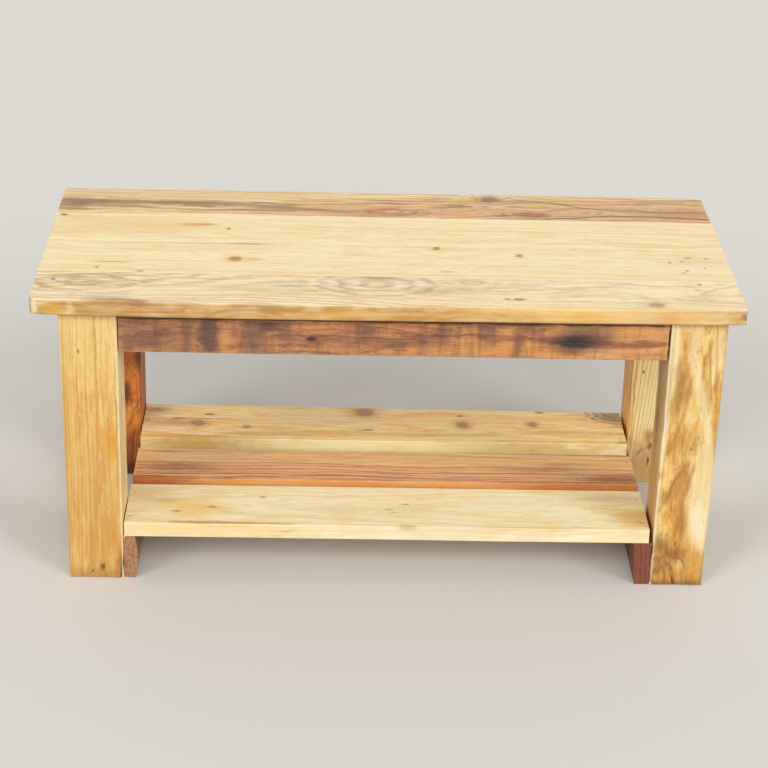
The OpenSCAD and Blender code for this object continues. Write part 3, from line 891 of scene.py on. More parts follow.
timber(
    "top_board_front", "pale_pine_front_top", FLAT_BOARD, 3,
    dict(
        arris=(3.0, SEAM_ARRIS),
        dents=[(499, -224, 437, 6, 2.6), (493, -225, 444, 4, 1.2), (-443, -225, 436, 8, 0.8)],
        reshape=front_board_shape,
    ),
    blank=top_blank(FRONT_EDGE, FRONT_SEAM), pith=(-168, 372), pale="FFEABF", dark="B28A62", ring=5.0,
    lean=(0.01, 0.03), sway=10.0, lines=0.62, fibre=0.32,
    clouds=[
        ("E9C686", 0.55, (150, 20, 20), 0.5, 0.66), ("D0BC98", 0.5, (90, 9, 9), 0.52, 0.66),
        ("C9AE84", 0.35, (24, 5, 6), 0.54, 0.68), ("FBEFD3", 0.5, (70, 12, 12), 0.54, 0.66),
    ],
    specks=("8A7050", 0.4), swirls=[(120, -140, 60, 26, 9.0), (430, -150, 120, 60, 8.0)],
    knots=[(-14, -119, 26, 11), (371, -204, 12, 9)], knot_tones=("9C7C66", "AC8C74", "B4946E", "DCC094"),
    knot_share=0.7,
    pips=[
        (-474, -147, TOP_Z, 4, 3.4), (183, -192, TOP_Z, 8, 4.5), (167, -192, TOP_Z, 6, 3.0),
        (445, -126, TOP_Z, 4, 3.2),
    ],
    pip_tone="6A4C34", face=("Y", -225, 8),
    stains=[
        ((-443, -136, TOP_Z), (18, 6, 9), "CC9258", 0.6, 0.7),
        ((-402, -128, TOP_Z), (26, 5, 9), "D9B07C", 0.5, 0.7),
        ((438, -147, TOP_Z), (6, 3, 9), "C0804C", 0.6, 0.6),
        ((-143, -157, TOP_Z), (26, 3.5, 9), "93806A", 0.55, 0.7),
        ((-379, -225, 449), (44, 14, 4.5), "B0803F", 0.75, 0.6), (-347, 447, 14, 4, "A26E50", 0.65, 0.6),
        (-466, 436, 19, 9, "D9A23E", 0.75, 0.4), (-443, 436, 5, 14, "F0D9A2", 0.5, 0.7),
        # The pale patch F4E2B4 at (-493, -222, 438) is a painted highlight on the rounded left front
        # corner.
        ((-493, -222, 438), (6, 9, 12), "F4E2B4", 0.8, 0.4), (-273, 439, 26, 7, "BC8644", 0.5, 0.7),
        (-273, 438, 11, 3, "E2BA78", 0.7, 0.6), ((-62, -225, 437), (60, 7, 7), "E0B04C", 0.55, 0.8),
        (330, 438, 230, 34, "EFC98A", 0.8, 0.9), ((265, -225, 438), (48, 7, 8), "E4B44C", 0.6, 0.8),
        ((494, -222, 439), (6, 9, 6), "8A745E", 0.75, 0.5),
        ((150, -225, 438), (70, 7, 6), "DDAE5C", 0.5, 0.8),
        ((20, -225, 432), (50, 7, 5), "C9923E", 0.5, 0.8),
        ((385, -225, 436), (20, 7, 9), "D09A4A", 0.45, 0.8),
        ((-180, -225, 432), (70, 7, 5), "D8A146", 0.55, 0.8),
    ],
    ribs=[
        ([(-404, -124), (-392, -134), (-366, -145), (-336, -152)], 3.0, "AE9068", 0.55),
        ([(-470, -150), (-420, -158), (-370, -158), (-336, -152)], 3.0, "AE9068", 0.45),
        ([(-390, -122), (-350, -130), (-290, -136), (-225, -137)], 2.6, "A58A64", 0.5),
    ],
    eyes=[
        ((-18, -146, 450), (118, 62, 0), 4, "AE8864", 0.58),
        ((-432, -156, 450), (112, 48, 0), 3, "B08A62", 0.6),
        ((170, -158, 450), (130, 30, 0), 3, "BC9A74", 0.34),
        ((484, -225, 432), (30, 9, 20), 3, "B07A36", 0.4),
        ((-262, -225, 438), (30, 9, 9), 2, "A9762E", 0.4),
        ((-200, -225, 420), (90, 11, 34), 4, "A8742E", 0.4),
        ((110, -225, 414), (120, 11, 40), 5, "AE7A34", 0.35),
    ],
    sides=[((0, -1, 0), "BC8B45", 0.8)], end_tone="B98F56", gloss=0.62,
)

timber(
    "top_board_front_middle", "warm_pine_top", FLAT_BOARD, 5,
    dict(
        arris=(SEAM_ARRIS, SEAM_ARRIS), reshape=partial(between_seams, front=FRONT_SEAM, rear=MIDDLE_SEAM),
    ),
    blank=top_blank(FRONT_SEAM, MIDDLE_SEAM), pith=(-10, 300), pale="FBEABF", dark="D2A765", ring=3.6,
    lean=(0.012, 0.01), sway=8.0, lines=0.27,
    clouds=[
        ("F2D08C", 0.6, (200, 14, 20), 0.5, 0.66), ("EAC180", 0.5, (70, 6, 9), 0.55, 0.68),
        ("F9E4C4", 0.5, (90, 14, 20), 0.54, 0.66), ("EFCE90", 0.45, (20, 7, 8), 0.52, 0.66),
    ],
    specks=("B08850", 0.35), knots=[(-223, -60, 10, 9), (74, -7, 5.5, 7), (193, -29, 5, 6)],
    knot_tones=("93683A", "B08448", "A87C46", "EDC078"),
    pips=[
        (414, -46, TOP_Z, 3, 3.0), (433, -42, TOP_Z, 4, 2.4), (442, -27, TOP_Z, 5, 2.4),
        (427, -84, TOP_Z, 4, 2.4), (435, -76, TOP_Z, 3, 2.4), (469, -29, TOP_Z, 4, 2.6),
        (461, -66, TOP_Z, 2.6, 2.4), (-417, -99, TOP_Z, 4, 3.0), (-356, -112, TOP_Z, 6, 3.0),
    ],
    pip_tone="9A7644", face=("Z", TOP_Z, 9),
    stains=[
        (-398, -79, 28, 2.6, "CF8A3C", 0.75, 0.6), (-195, -60, 15, 6, "E0AC5C", 0.6, 0.7),
        (-206, 0, 26, 2.4, "9C7038", 0.65, 0.7), (88, -95, 10, 2.4, "A9895C", 0.45, 0.7),
        (452, -40, 46, 16, "E2C087", 0.45, 0.8), (84, -10, 20, 7, "F0C786", 0.5, 0.7),
    ],
    ribs=[
        ([(-500, -104), (-300, -106), (0, -108), (500, -113)], 5.0, "EFC884", 0.5),
        ([(-500, 2), (-200, -3), (200, -3), (500, -8)], 2.2, "E3BE80", 0.5),
    ],
    end_tone="C79B5C", gloss=0.62,
)

timber(
    "top_board_rear_middle", "warm_pine_top", FLAT_BOARD, 8,
    dict(arris=(SEAM_ARRIS, SEAM_ARRIS), reshape=partial(between_seams, front=MIDDLE_SEAM, rear=REAR_SEAM)),
    blank=top_blank(MIDDLE_SEAM, REAR_SEAM), pith=(20, 330), pale="FAE7BA", dark="D3AA68", ring=4.4,
    lean=(-0.01, 0.015), sway=8.0, lines=0.26,
    clouds=[
        ("EFCB8A", 0.6, (190, 16, 20), 0.5, 0.66), ("E8BC78", 0.5, (80, 6, 9), 0.56, 0.68),
        ("F8E6C8", 0.5, (110, 14, 20), 0.54, 0.66), ("EECB8C", 0.45, (20, 7, 8), 0.52, 0.66),
    ],
    specks=("B08850", 0.35), knots=[(-237, 58, 2.6, 3.4)],
    knot_tones=("7C5630", "9A6E3E", "9A6E3E", "E5BE78"), pips=[(-488, 106, TOP_Z, 5.5, 5)],
    pip_tone="7A5A30", face=("Z", TOP_Z, 9),
    stains=[
        (-288, 75, 30, 6, "D2954A", 0.8, 0.6), (-272, 75, 12, 2.4, "A87236", 0.6, 0.7),
        (-390, 70, 110, 40, "E9C48C", 0.5, 0.8), (-470, 104, 30, 12, "E0C078", 0.5, 0.8),
    ],
    ribs=[
        ([(-500, 15), (-200, 12), (200, 9), (500, 6)], 3.4, "FBEDCB", 0.75),
        ([(-500, 108), (-200, 108), (200, 110), (500, 110)], 5.0, "FBEFD2", 0.5),
    ],
    end_tone="C79B5C", gloss=0.62,
)

# Where the dark heartwood of the rear board starts and ends
HEART_LOWER = [
    (-500, 128), (-444, 132), (-391, 140), (-343, 150), (-294, 148), (-244, 142), (-207, 133), (-140, 127),
    (-71, 123), (0, 119), (500, 118),
]
HEART_UPPER = [
    (-500, 188), (-446, 178), (-396, 170), (-296, 176), (-227, 172), (-149, 184), (-97, 196), (-45, 184),
    (7, 199), (138, 209), (235, 211), (405, 214), (500, 222),
]

timber(
    "top_board_rear", "heartwood_rear_top", FLAT_BOARD, 12,
    dict(arris=(SEAM_ARRIS, 3.0), reshape=rear_board_shape), blank=top_blank(REAR_SEAM, REAR_EDGE),
    pith=(165, 408), pale="FADDA4", dark="B08552", ring=6.0, lean=(0.012, -0.02), sway=13.0, lines=0.9,
    fibre=0.36,
    clouds=[("F0D7A6", 0.6, (90, 9, 12), 0.52, 0.66), ("B98F66", 0.6, (110, 7, 10), 0.52, 0.66)],
    specks=("7A5A40", 0.45), bands=[(HEART_LOWER, HEART_UPPER, 5.0, "E8BE8A", "80543A", 0.9)],
    swirls=[(180, 150, 90, 24, 10.0), (330, 160, 120, 22, 8.0)],
    eyes=[
        ((10, 140, 450), (64, 24, 0), 3, "A06A4A", 0.6), ((210, 140, 450), (52, 20, 0), 3, "98664A", 0.55),
        ((300, 150, 450), (60, 17, 0), 3, "A87850", 0.5), ((440, 170, 450), (70, 20, 0), 3, "A06E48", 0.5),
    ],
    knots=[(162, 202, 12, 11)], knot_tones=("7C6250", "9A7860", "6E5040", "B08A60"), bend=9.0,
    face=("Z", TOP_Z, 20),
    stains=[
        (-330, 166, 90, 7, "8E6A50", 0.7, 0.6), (-440, 160, 60, 14, "98755A", 0.6, 0.7),
        (-480, 158, 24, 26, "8C7052", 0.6, 0.7), (-470, 132, 30, 4, "7E6244", 0.55, 0.7),
        (-170, 150, 36, 12, "94765E", 0.6, 0.7), (-250, 138, 60, 5, "AC7C56", 0.6, 0.7),
        (-80, 150, 60, 22, "DEAE78", 0.6, 0.7), (8, 142, 46, 16, "C07F58", 0.65, 0.5),
        (14, 142, 24, 7, "EBC79A", 0.7, 0.4), (100, 140, 60, 22, "DDAA78", 0.5, 0.7),
        ((226, 140, TOP_Z), (26, 11, 12), "A97660", 0.8, 0.5),
        ((300, 150, TOP_Z), (38, 14, 12), "DDBB84", 0.75, 0.6),
        ((460, 150, TOP_Z), (50, 26, 12), "C08E62", 0.55, 0.6), (-390, 200, 130, 22, "E0C28E", 0.6, 0.8),
        (-200, 204, 140, 18, "E8CB94", 0.6, 0.8),
    ],
    ribs=[
        ([(243, 122), (300, 130), (360, 141), (420, 139), (500, 131)], 3.0, "84593A", 0.85),
        ([(200, 205), (260, 190), (330, 168), (400, 160), (500, 158)], 3.4, "936A4C", 0.75),
        ([(-318, 128), (-200, 124), (-100, 121), (40, 120)], 2.2, "BC8F5A", 0.7),
        (
            [(-500, 169), (-342, 167), (-265, 166), (-187, 156), (-120, 146), (-50, 136)], 11.0, "9C785C",
            0.6,
        ),
        ([(-60, 196), (60, 192), (180, 196), (300, 200), (470, 206)], 2.6, "A87C58", 0.6),
    ],
    end_tone="8E6844", gloss=0.62,
)


# Legs: four posts of different timber


LEG_HEIGHT = 427.0
LEFT_INNER_FACE = -380.0
RIGHT_INNER_FACE = 396.5


def leaning(points, inner, outer):
    """Leans a leg's outer face. outer is where that face lies at the top and at the floor."""
    share = (points[:, 0] - inner) / (outer[0] - inner)
    points[:, 0] += share * (outer[1] - outer[0]) * (1 - points[:, 2] / LEG_HEIGHT)
    return points


left_leg_shape = partial(leaning, inner=LEFT_INNER_FACE, outer=(-462.8, -460.3))
right_leg_shape = partial(leaning, inner=RIGHT_INNER_FACE, outer=(478.8, 475.3))

# Where the natural round of the log, left on the front right leg, meets its front face: (z, x)
WANE_COURSE = [
    (60, 470), (142, 471), (203, 469), (233, 465), (263, 460), (293, 452), (322, 444), (351, 437),
    (380, 431), (427, 434),
]


def front_right_leg_shape(points):
    """Leaning as the other right leg, and cut away by the natural round of the log."""
    points = right_leg_shape(points)
    ridge = np.interp(points[:, 2], *zip(*WANE_COURSE), left=500.0)
    past = np.clip(points[:, 0] - ridge, 0, None)
    middle, front, slope = -164, -208, 0.16
    points[:, 1] += slope * past * np.clip((middle - points[:, 1]) / (middle - front), 0, 1)
    return points


timber(
    "leg_front_left", "golden_post", POST, 21,
    dict(
        arris=(4.0, 4.0), ragged=0.9, dents=[(-380, -208, 24, 9, 1.6), (-411, -208, 18, 6, 1.2)],
        splits=[(1, -1, (-384, -383), 0, 44, 0.9, 4.0), (1, -1, (-408, -410), 0, 17, 0.7, 2.5)],
        reshape=left_leg_shape,
    ),
    pith=(-372, -118), pale="EFC87C", dark="A8742F", ring=3.4, lean=(0.012, 0.0), sway=4.5, fibre=0.4,
    clouds=[
        ("D9A248", 0.7, (120, 11, 11), 0.46, 0.62), ("F4DCA0", 0.5, (48, 9, 9), 0.5, 0.68),
        ("C08A3E", 0.4, (18, 5, 5), 0.54, 0.7),
    ],
    specks=("7E5626", 0.6),
    pips=[(-435, -208, 369, 4, 1.6), (-411, -208, 19, 7, 4.4), (-425, -208, 12, 3, 1.3)], pip_tone="3A2A18",
    # Painted light: the inner side, facing +X, is lightened with FFEEC0 to make up for the shade it sits
    # in.
    sides=[((1, 0, 0), "FFEEC0", 0.92), ((-1, 0, 0), "DDC08A", 0.35)], face=("Y", -208, 20),
    stains=[
        (-394, 222, 10, 26, "E3A032", 0.75, 0.7), (-400, 44, 30, 40, "D3992F", 0.4, 0.8),
        ((-420, -208, 0), (60, 120, 14), "9A7238", 0.6, 0.6), (-383, 14, 5, 28, "54402E", 0.75, 0.6),
        ((-420, -208, 427), (60, 60, 90), "F2D690", 0.5, 0.9),
        ((-420, -208, 90), (60, 60, 150), "C08D40", 0.4, 0.9), (-457, 230, 7, 230, "DCA650", 0.4, 0.5),
    ],
    ribs=[
        ([(60, -418), (180, -414), (300, -411), (427, -412)], 3.0, "CE9440", 0.5),
        ([(0, -391), (24, -388), (50, -384), (70, -382)], 2.2, "BE7A36", 0.55),
    ],
    # The pale arris tone F9EAC4 is a painted highlight along the rounded arrises.
    end_tone="A9834C", rubbed=("F9EAC4", 0.7, 4.0),
)

timber(
    "leg_front_right", "mottled_post", POST, 27,
    dict(
        arris=(4.0, 4.0), worn=0.6, hollows=0.35, ragged=1.2,
        dents=[(396.5, -208, 180, 7, 3.0), (396.5, -208, 262, 16, 1.5), (398, -208, 60, 14, 1.5)],
        splits=[(1, -1, (434, 421), 0, 46, 1.2, 5.0), (1, -1, (455, 453), 0, 14, 0.5, 3.0)],
        reshape=front_right_leg_shape,
    ),
    pith=(474, -130), pale="F1CB7C", dark="A5702C", ring=5.0, lean=(-0.05, 0.02), sway=13.0, lines=0.5,
    fibre=0.4,
    clouds=[
        ("D79A3E", 0.8, (70, 16, 16), 0.46, 0.6), ("A97838", 0.6, (34, 9, 9), 0.54, 0.66),
        ("F7E3B4", 0.5, (40, 12, 12), 0.56, 0.66), ("96642A", 0.4, (13, 5, 5), 0.55, 0.7),
    ],
    specks=("6E4A26", 0.65),
    pips=[(441, -208, 228, 3.4, 1.8), (430, -208, 70, 3, 1.6), (396.5, -150, 252, 12, 4)],
    pip_tone="4A3420", face=("Y", -208, 14),
    stains=[
        ((455, -208, 150), (14, 20, 70), "F6E2B0", 0.75, 0.7),
        ((403, -208, 380), (9, 20, 90), "F6E2AE", 0.85, 0.6),
        ((399, -208, 260), (4.5, 20, 60), "F8EAC4", 0.85, 0.5),
        ((398, -208, 110), (3.4, 20, 110), "F6E4B8", 0.8, 0.5), (417, 340, 9, 26, "A97636", 0.8, 0.8),
        (422, 314, 12, 12, "A4743A", 0.65, 0.8), (411, 296, 8, 24, "B98234", 0.7, 0.8),
        (434, 277, 8, 12, "F2D492", 0.7, 0.7), (445, 352, 6, 14, "B4864A", 0.5, 0.8),
        (466, 388, 8, 44, "F7DEA6", 0.75, 0.7), (456, 300, 7, 22, "B58640", 0.55, 0.8),
        (472, 236, 6, 50, "CE9232", 0.75, 0.6), (420, 236, 16, 22, "C18A3E", 0.55, 0.8),
        (409, 147, 9, 12, "A27638", 0.6, 0.8), (425, 162, 7, 22, "AC7630", 0.65, 0.8),
        (436, 184, 6, 18, "A8742F", 0.6, 0.8), (429, 122, 7, 20, "B8792A", 0.7, 0.8),
        ((430, -208, 22), (60, 40, 56), "C3893A", 0.75, 0.5), (436, 100, 7, 26, "AA742C", 0.7, 0.8),
        (462, 10, 14, 9, "AE7434", 0.6, 0.8), (462, 104, 11, 34, "FBEDC4", 0.9, 0.5),
        (408, 68, 14, 14, "7C5A34", 0.7, 0.8), (430, 54, 14, 10, "8A5A28", 0.7, 0.8),
        (462, 30, 13, 20, "E0AE54", 0.6, 0.7), (410, 34, 10, 12, "8E6A40", 0.6, 0.8),
        (439, 34, 8, 8, "E9CB90", 0.6, 0.7), ((430, -208, 0), (60, 120, 8), "6E4C2A", 0.6, 0.6),
        ((396.5, -160, 340), (8, 60, 110), "AE8A58", 0.6, 0.6),
        ((396.5, -160, 120), (8, 60, 100), "C49A62", 0.6, 0.5),
        ((396.5, -150, 250), (8, 14, 60), "5E4A3A", 0.5, 0.8),
    ],
    ribs=[
        (WANE_COURSE, 12.0, "F7E4B2", 0.65),
        ([(150, 413), (172, 421), (190, 431), (205, 440)], 5.0, "A8762F", 0.6),
        ([(120, 400), (150, 412), (182, 424), (200, 430)], 4.0, "A8762F", 0.5),
        ([(80, 425), (110, 432), (150, 436), (200, 448)], 4.0, "AC7A34", 0.55),
        ([(220, 408), (260, 420), (300, 428), (340, 430)], 4.5, "B5833C", 0.5),
        ([(300, 464), (350, 457), (400, 454)], 3.0, "A87A3A", 0.55),
        ([(290, 472), (340, 467), (420, 462)], 3.0, "B98A46", 0.5),
        ([(28, 447), (37, 444), (46, 438), (56, 429)], 3.6, "96622A", 0.7),
    ],
    eyes=[
        ((411, -208, 14), (36, 0, 50), 3, "7E5830", 0.6), ((466, -208, 16), (22, 0, 26), 2, "A8702C", 0.3),
    ],
    # Painted light: the inner side, facing -X, is lightened to make up for its shade. The pale arris tone
    # F8EAC6 is partly wear and partly a painted highlight along the rounded arrises.
    sides=[((-1, 0, 0), "E6B26C", 0.65)], end_tone="8A6A44", rubbed=("F8EAC6", 0.65, 4.5),
)

timber(
    "leg_rear_left", "red_swirl_post", POST, 33, dict(arris=(4.0, 4.0), ragged=0.8, reshape=left_leg_shape),
    # Painted light: the bright pale tone and the inner side's tone B06400 are raised to make up for the
    # shade of the top; the outer and rear faces, out of view, take the darker A8642E.
    pith=(-425, 140), pale="EE9A50", dark="86401C", ring=4.5, lean=(0.16, 0.0), sway=16.0, fibre=0.5,
    clouds=[("F29A3E", 0.6, (40, 10, 10), 0.5, 0.64), ("94481F", 0.55, (50, 9, 9), 0.54, 0.68)],
    specks=("3A1A0C", 0.6), swirls=[(163, -402, 60, 30, 16.0)],
    sides=[((1, 0, 0), "B06400", 0.92), ((-1, 0, 0), "A8642E", 0.75), ((0, 1, 0), "A8642E", 0.75)],
    face=("Y", 118, 14),
    stains=[
        (-384, 206, 8, 18, "5E2A18", 0.8, 0.7), (-400, 206, 7, 24, "7A3618", 0.6, 0.7),
        (-405, 143, 11, 21, "4E2420", 0.85, 0.6), (-387, 148, 9, 18, "E07A30", 0.6, 0.7),
        (-394, 178, 12, 10, "C87434", 0.6, 0.7), (-393, 98, 14, 16, "E8983E", 0.7, 0.7),
        # The near-black patch 22120C at the foot is a painted shadow where the leg meets the floor.
        (-400, 44, 30, 38, "7A3A1C", 0.6, 0.8), (-402, 10, 20, 14, "22120C", 0.8, 0.7),
        ((-400, 118, 400), (60, 16, 50), "5E3420", 0.5, 0.6),
    ],
    ribs=[
        ([(84, -402), (104, -396), (122, -388), (134, -380)], 3.0, "8E4820", 0.5),
        ([(76, -406), (92, -398), (106, -390), (116, -380)], 2.4, "A85A28", 0.5),
        ([(188, -406), (180, -396), (174, -386), (166, -380)], 3.0, "642E1A", 0.6),
        ([(30, -398), (60, -396), (84, -392)], 3.0, "5E2A18", 0.5),
    ],
    end_tone="7A4426",
)

timber(
    "leg_rear_right", "striped_post", POST, 39, dict(arris=(4.0, 4.0), ragged=0.8, reshape=right_leg_shape),
    # Painted light: the pale and dark tones are raised to make up for the shade of the top and the front
    # leg.
    pith=(360, 60), pale="FFF0B4", dark="D89C50", ring=3.7, lean=(0.07, 0.0), sway=2.5, lines=0.9,
    clouds=[("FCD68A", 0.45, (60, 9, 9), 0.5, 0.64)], specks=("8A5A2C", 0.4),
    swirls=[(52, 428, 60, 18, 7.0)], pips=[(416, 118, 196, 4, 2.4)], pip_tone="5A3E28", face=("Y", 118, 14),
    stains=[
        (426, 66, 13, 26, "E4AE62", 0.5, 0.8), (427, 52, 8, 12, "EBC490", 0.6, 0.7),
        (424, 24, 40, 30, "CC904C", 0.5, 0.8), (432, 84, 8, 10, "B5752C", 0.7, 0.7),
        (435, 68, 5, 6, "8E3E24", 0.8, 0.6),
    ],
    ribs=[
        ([(53, 417), (57, 419), (61, 422)], 2.2, "4E2A1C", 0.9),
        ([(60, 424), (62, 426), (64, 429)], 1.8, "5E2E1C", 0.8),
        ([(30, 432), (38, 434), (46, 434)], 2.4, "4E2A1E", 0.9),
        ([(70, 402), (250, 402.5), (427, 403)], 2.2, "B9803A", 0.6),
    ],
    sides=[((-1, 0, 0), "ECA23E", 0.75)], end_tone="A87E48",
)


# Aprons: the front one weathered, the others plain


timber(
    "apron_front", "weathered_apron", EDGE_BOARD, 45,
    dict(
        step=(2.4, 3.0, 4.0), worn=0.5, ripple=0.12, hollows=0.3,
        dents=[(264, -206, 392, 9, 0.6), (-109, -206, 390, 4, 1.0), (-168, -206, 409, 4, 0.6)],
        splits=[(1, -1, (392, 391), 252, 292, 0.6, 2.5)],
        reshape=partial(round_corner, axes=[0, 2], corner=(-379.2, 365.0), inward=(1, 1), radius=5.0),
    ),
    pith=(392, -150), pale="D0915C", dark="74462C", lean=(0.01, 0.02), sway=9.0, lines=0.55, fibre=0.6,
    clouds=[
        ("E0A05E", 0.6, (26, 8, 8), 0.52, 0.66), ("8A5A42", 0.6, (22, 6, 6), 0.5, 0.66),
        ("B0604A", 0.5, (40, 5, 5), 0.56, 0.7), ("5A443A", 0.6, (7, 3.4, 4), 0.56, 0.72),
        ("E2B07A", 0.5, (5, 3, 4), 0.58, 0.72),
    ],
    specks=("3E2A22", 0.6), saw=("6A4A40", 0.38, 10.0), knots=[(262, 391, 26, 9.5)], knot_share=0.95,
    knot_tones=("1C1A18", "302C2A", "44302A", "6E4238"), bend=4.0, face=("Y", -206, 20),
    stains=[
        (330, 396, 90, 40, "F2B474", 0.6, 0.8), (180, 384, 80, 18, "EEAC62", 0.55, 0.8),
        (100, 376, 90, 9, "E6A060", 0.45, 0.8), (-350, 386, 28, 10, "5C4640", 0.6, 0.8),
        (-352, 408, 20, 8, "6A4E44", 0.5, 0.8), (-315, 397, 20, 7, "5E4440", 0.65, 0.8),
        (-330, 380, 30, 8, "6E5448", 0.4, 0.8), (-283, 398, 9, 26, "6A4C42", 0.5, 0.7),
        (-252, 392, 15, 34, "4E3E3C", 0.8, 0.5), (-231, 384, 9, 20, "DCA060", 0.6, 0.7),
        (-192, 394, 16, 30, "644A40", 0.65, 0.7), (-168, 409, 14, 8, "3E302C", 0.8, 0.7),
        (-146, 400, 12, 26, "644A42", 0.6, 0.7), (-100, 388, 30, 9, "5E4234", 0.5, 0.8),
        (-109, 390, 8, 4, "1E1816", 0.95, 0.5), (-290, 396, 110, 60, "6E4C40", 0.2, 0.9),
        (-32, 404, 16, 16, "5E4A42", 0.55, 0.8), (-30, 386, 44, 8, "7A5644", 0.4, 0.8),
        (12, 386, 24, 8, "5E443A", 0.6, 0.8), (51, 391, 14, 10, "5E443C", 0.5, 0.8),
        (77, 398, 12, 18, "5A463E", 0.6, 0.8), (139, 402, 14, 18, "54423C", 0.65, 0.8),
        (183, 392, 8, 26, "5A463E", 0.6, 0.7), (197, 408, 12, 12, "644C40", 0.5, 0.8),
        (225, 380, 24, 10, "EAA654", 0.7, 0.7), (262, 392, 34, 13, "30282A", 0.85, 0.6),
        (290, 391, 26, 10, "4E2A2A", 0.7, 0.8), (268, 410, 18, 10, "6E5A48", 0.6, 0.8),
        (298, 406, 22, 12, "72604A", 0.6, 0.8), (262, 376, 20, 5, "9A4A3A", 0.5, 0.7),
        (290, 378, 16, 6, "F0C080", 0.6, 0.7), (335, 386, 16, 5, "8A4632", 0.6, 0.8),
        (350, 402, 26, 12, "D29A5E", 0.6, 0.8), (362, 392, 20, 5, "5E4636", 0.6, 0.8),
    ],
    ribs=[
        ([(150, 395), (200, 394), (240, 393), (300, 391), (345, 388), (392, 393)], 5.0, "7A3428", 0.5),
        ([(17, 397), (80, 398), (140, 400), (200, 397)], 2.6, "7A3E2C", 0.6),
        ([(-160, 396), (-60, 394), (40, 392)], 2.0, "7A4632", 0.5),
        # Painted shadow: the dark line along the top of the apron is the shade under the top's overhang.
        ([(-379, 419), (392, 419)], 4.2, "3A2412", 0.85),
    ],
    end_tone="5E3A26", rubbed=("D69A60", 0.4, 3.4), gloss=0.6, relief=0.8,
)


# Shelf: three boards on two bearers


SHELF_ARRISES = dict(arris=(1.3, 1.3), end_arris=0.5)



timber(
    "shelf_board_front", "cream_shelf", FLAT_BOARD, 51, dict(hollows=0.25, **SHELF_ARRISES),
    pith=(-150, 10), pale="FFF7D0", dark="E4BC68", ring=6.0, lean=(0.01, 0.03), sway=9.0, lines=0.45,
    clouds=[("FADF9C", 0.65, (70, 18, 20), 0.48, 0.62), ("EDC87E", 0.4, (30, 6, 9), 0.54, 0.7)],
    specks=("B08A50", 0.35),
    pips=[
        (-179, -122, 92, 6, 2.4), (-304, -168, 92, 9, 2.0), (-254, -154, 92, 11, 2.6),
        (18, -164, 92, 10, 1.6), (34, -138, 92, 8, 1.6), (10, -155, 92, 7, 1.4),
    ],
    pip_tone="AC824A", face=("Z", 92, 30),
    stains=[
        (-321, -135, 26, 7, "DDBB86", 0.55, 0.8), (-280, -160, 48, 18, "F2CB6C", 0.75, 0.9),
        (-350, -192, 60, 12, "EBC986", 0.5, 0.9), (-365, -120, 30, 22, "EDCB8C", 0.6, 0.9),
        (-250, -108, 30, 8, "EBC990", 0.5, 0.8), (-70, -160, 34, 12, "EFD096", 0.5, 0.8),
        (30, -158, 44, 20, "EFD193", 0.5, 0.8), (380, -172, 44, 26, "E6C474", 0.8, 0.5),
        (345, -112, 60, 12, "DDC08C", 0.6, 0.6), ((-250, -207, 84), (150, 8, 10), "F3D48E", 0.6, 0.7),
        ((-240, -201, 92), (70, 4, 8), "C99A50", 0.6, 0.7),
        ((34, -207, 90), (14, 8, 4), "B98A4C", 0.5, 0.7), ((230, -204, 92), (90, 3, 6), "E3B35C", 0.5, 0.8),
    ],
    ribs=[([(-310, -201), (-260, -202), (-200, -203), (-130, -204)], 3.0, "B98848", 0.7)],
    sides=[((0, -1, 0), "EAD6B0", 0.7), ((0, 0, -1), "EFD8AC", 0.75)], end_tone="D3B07A",
)

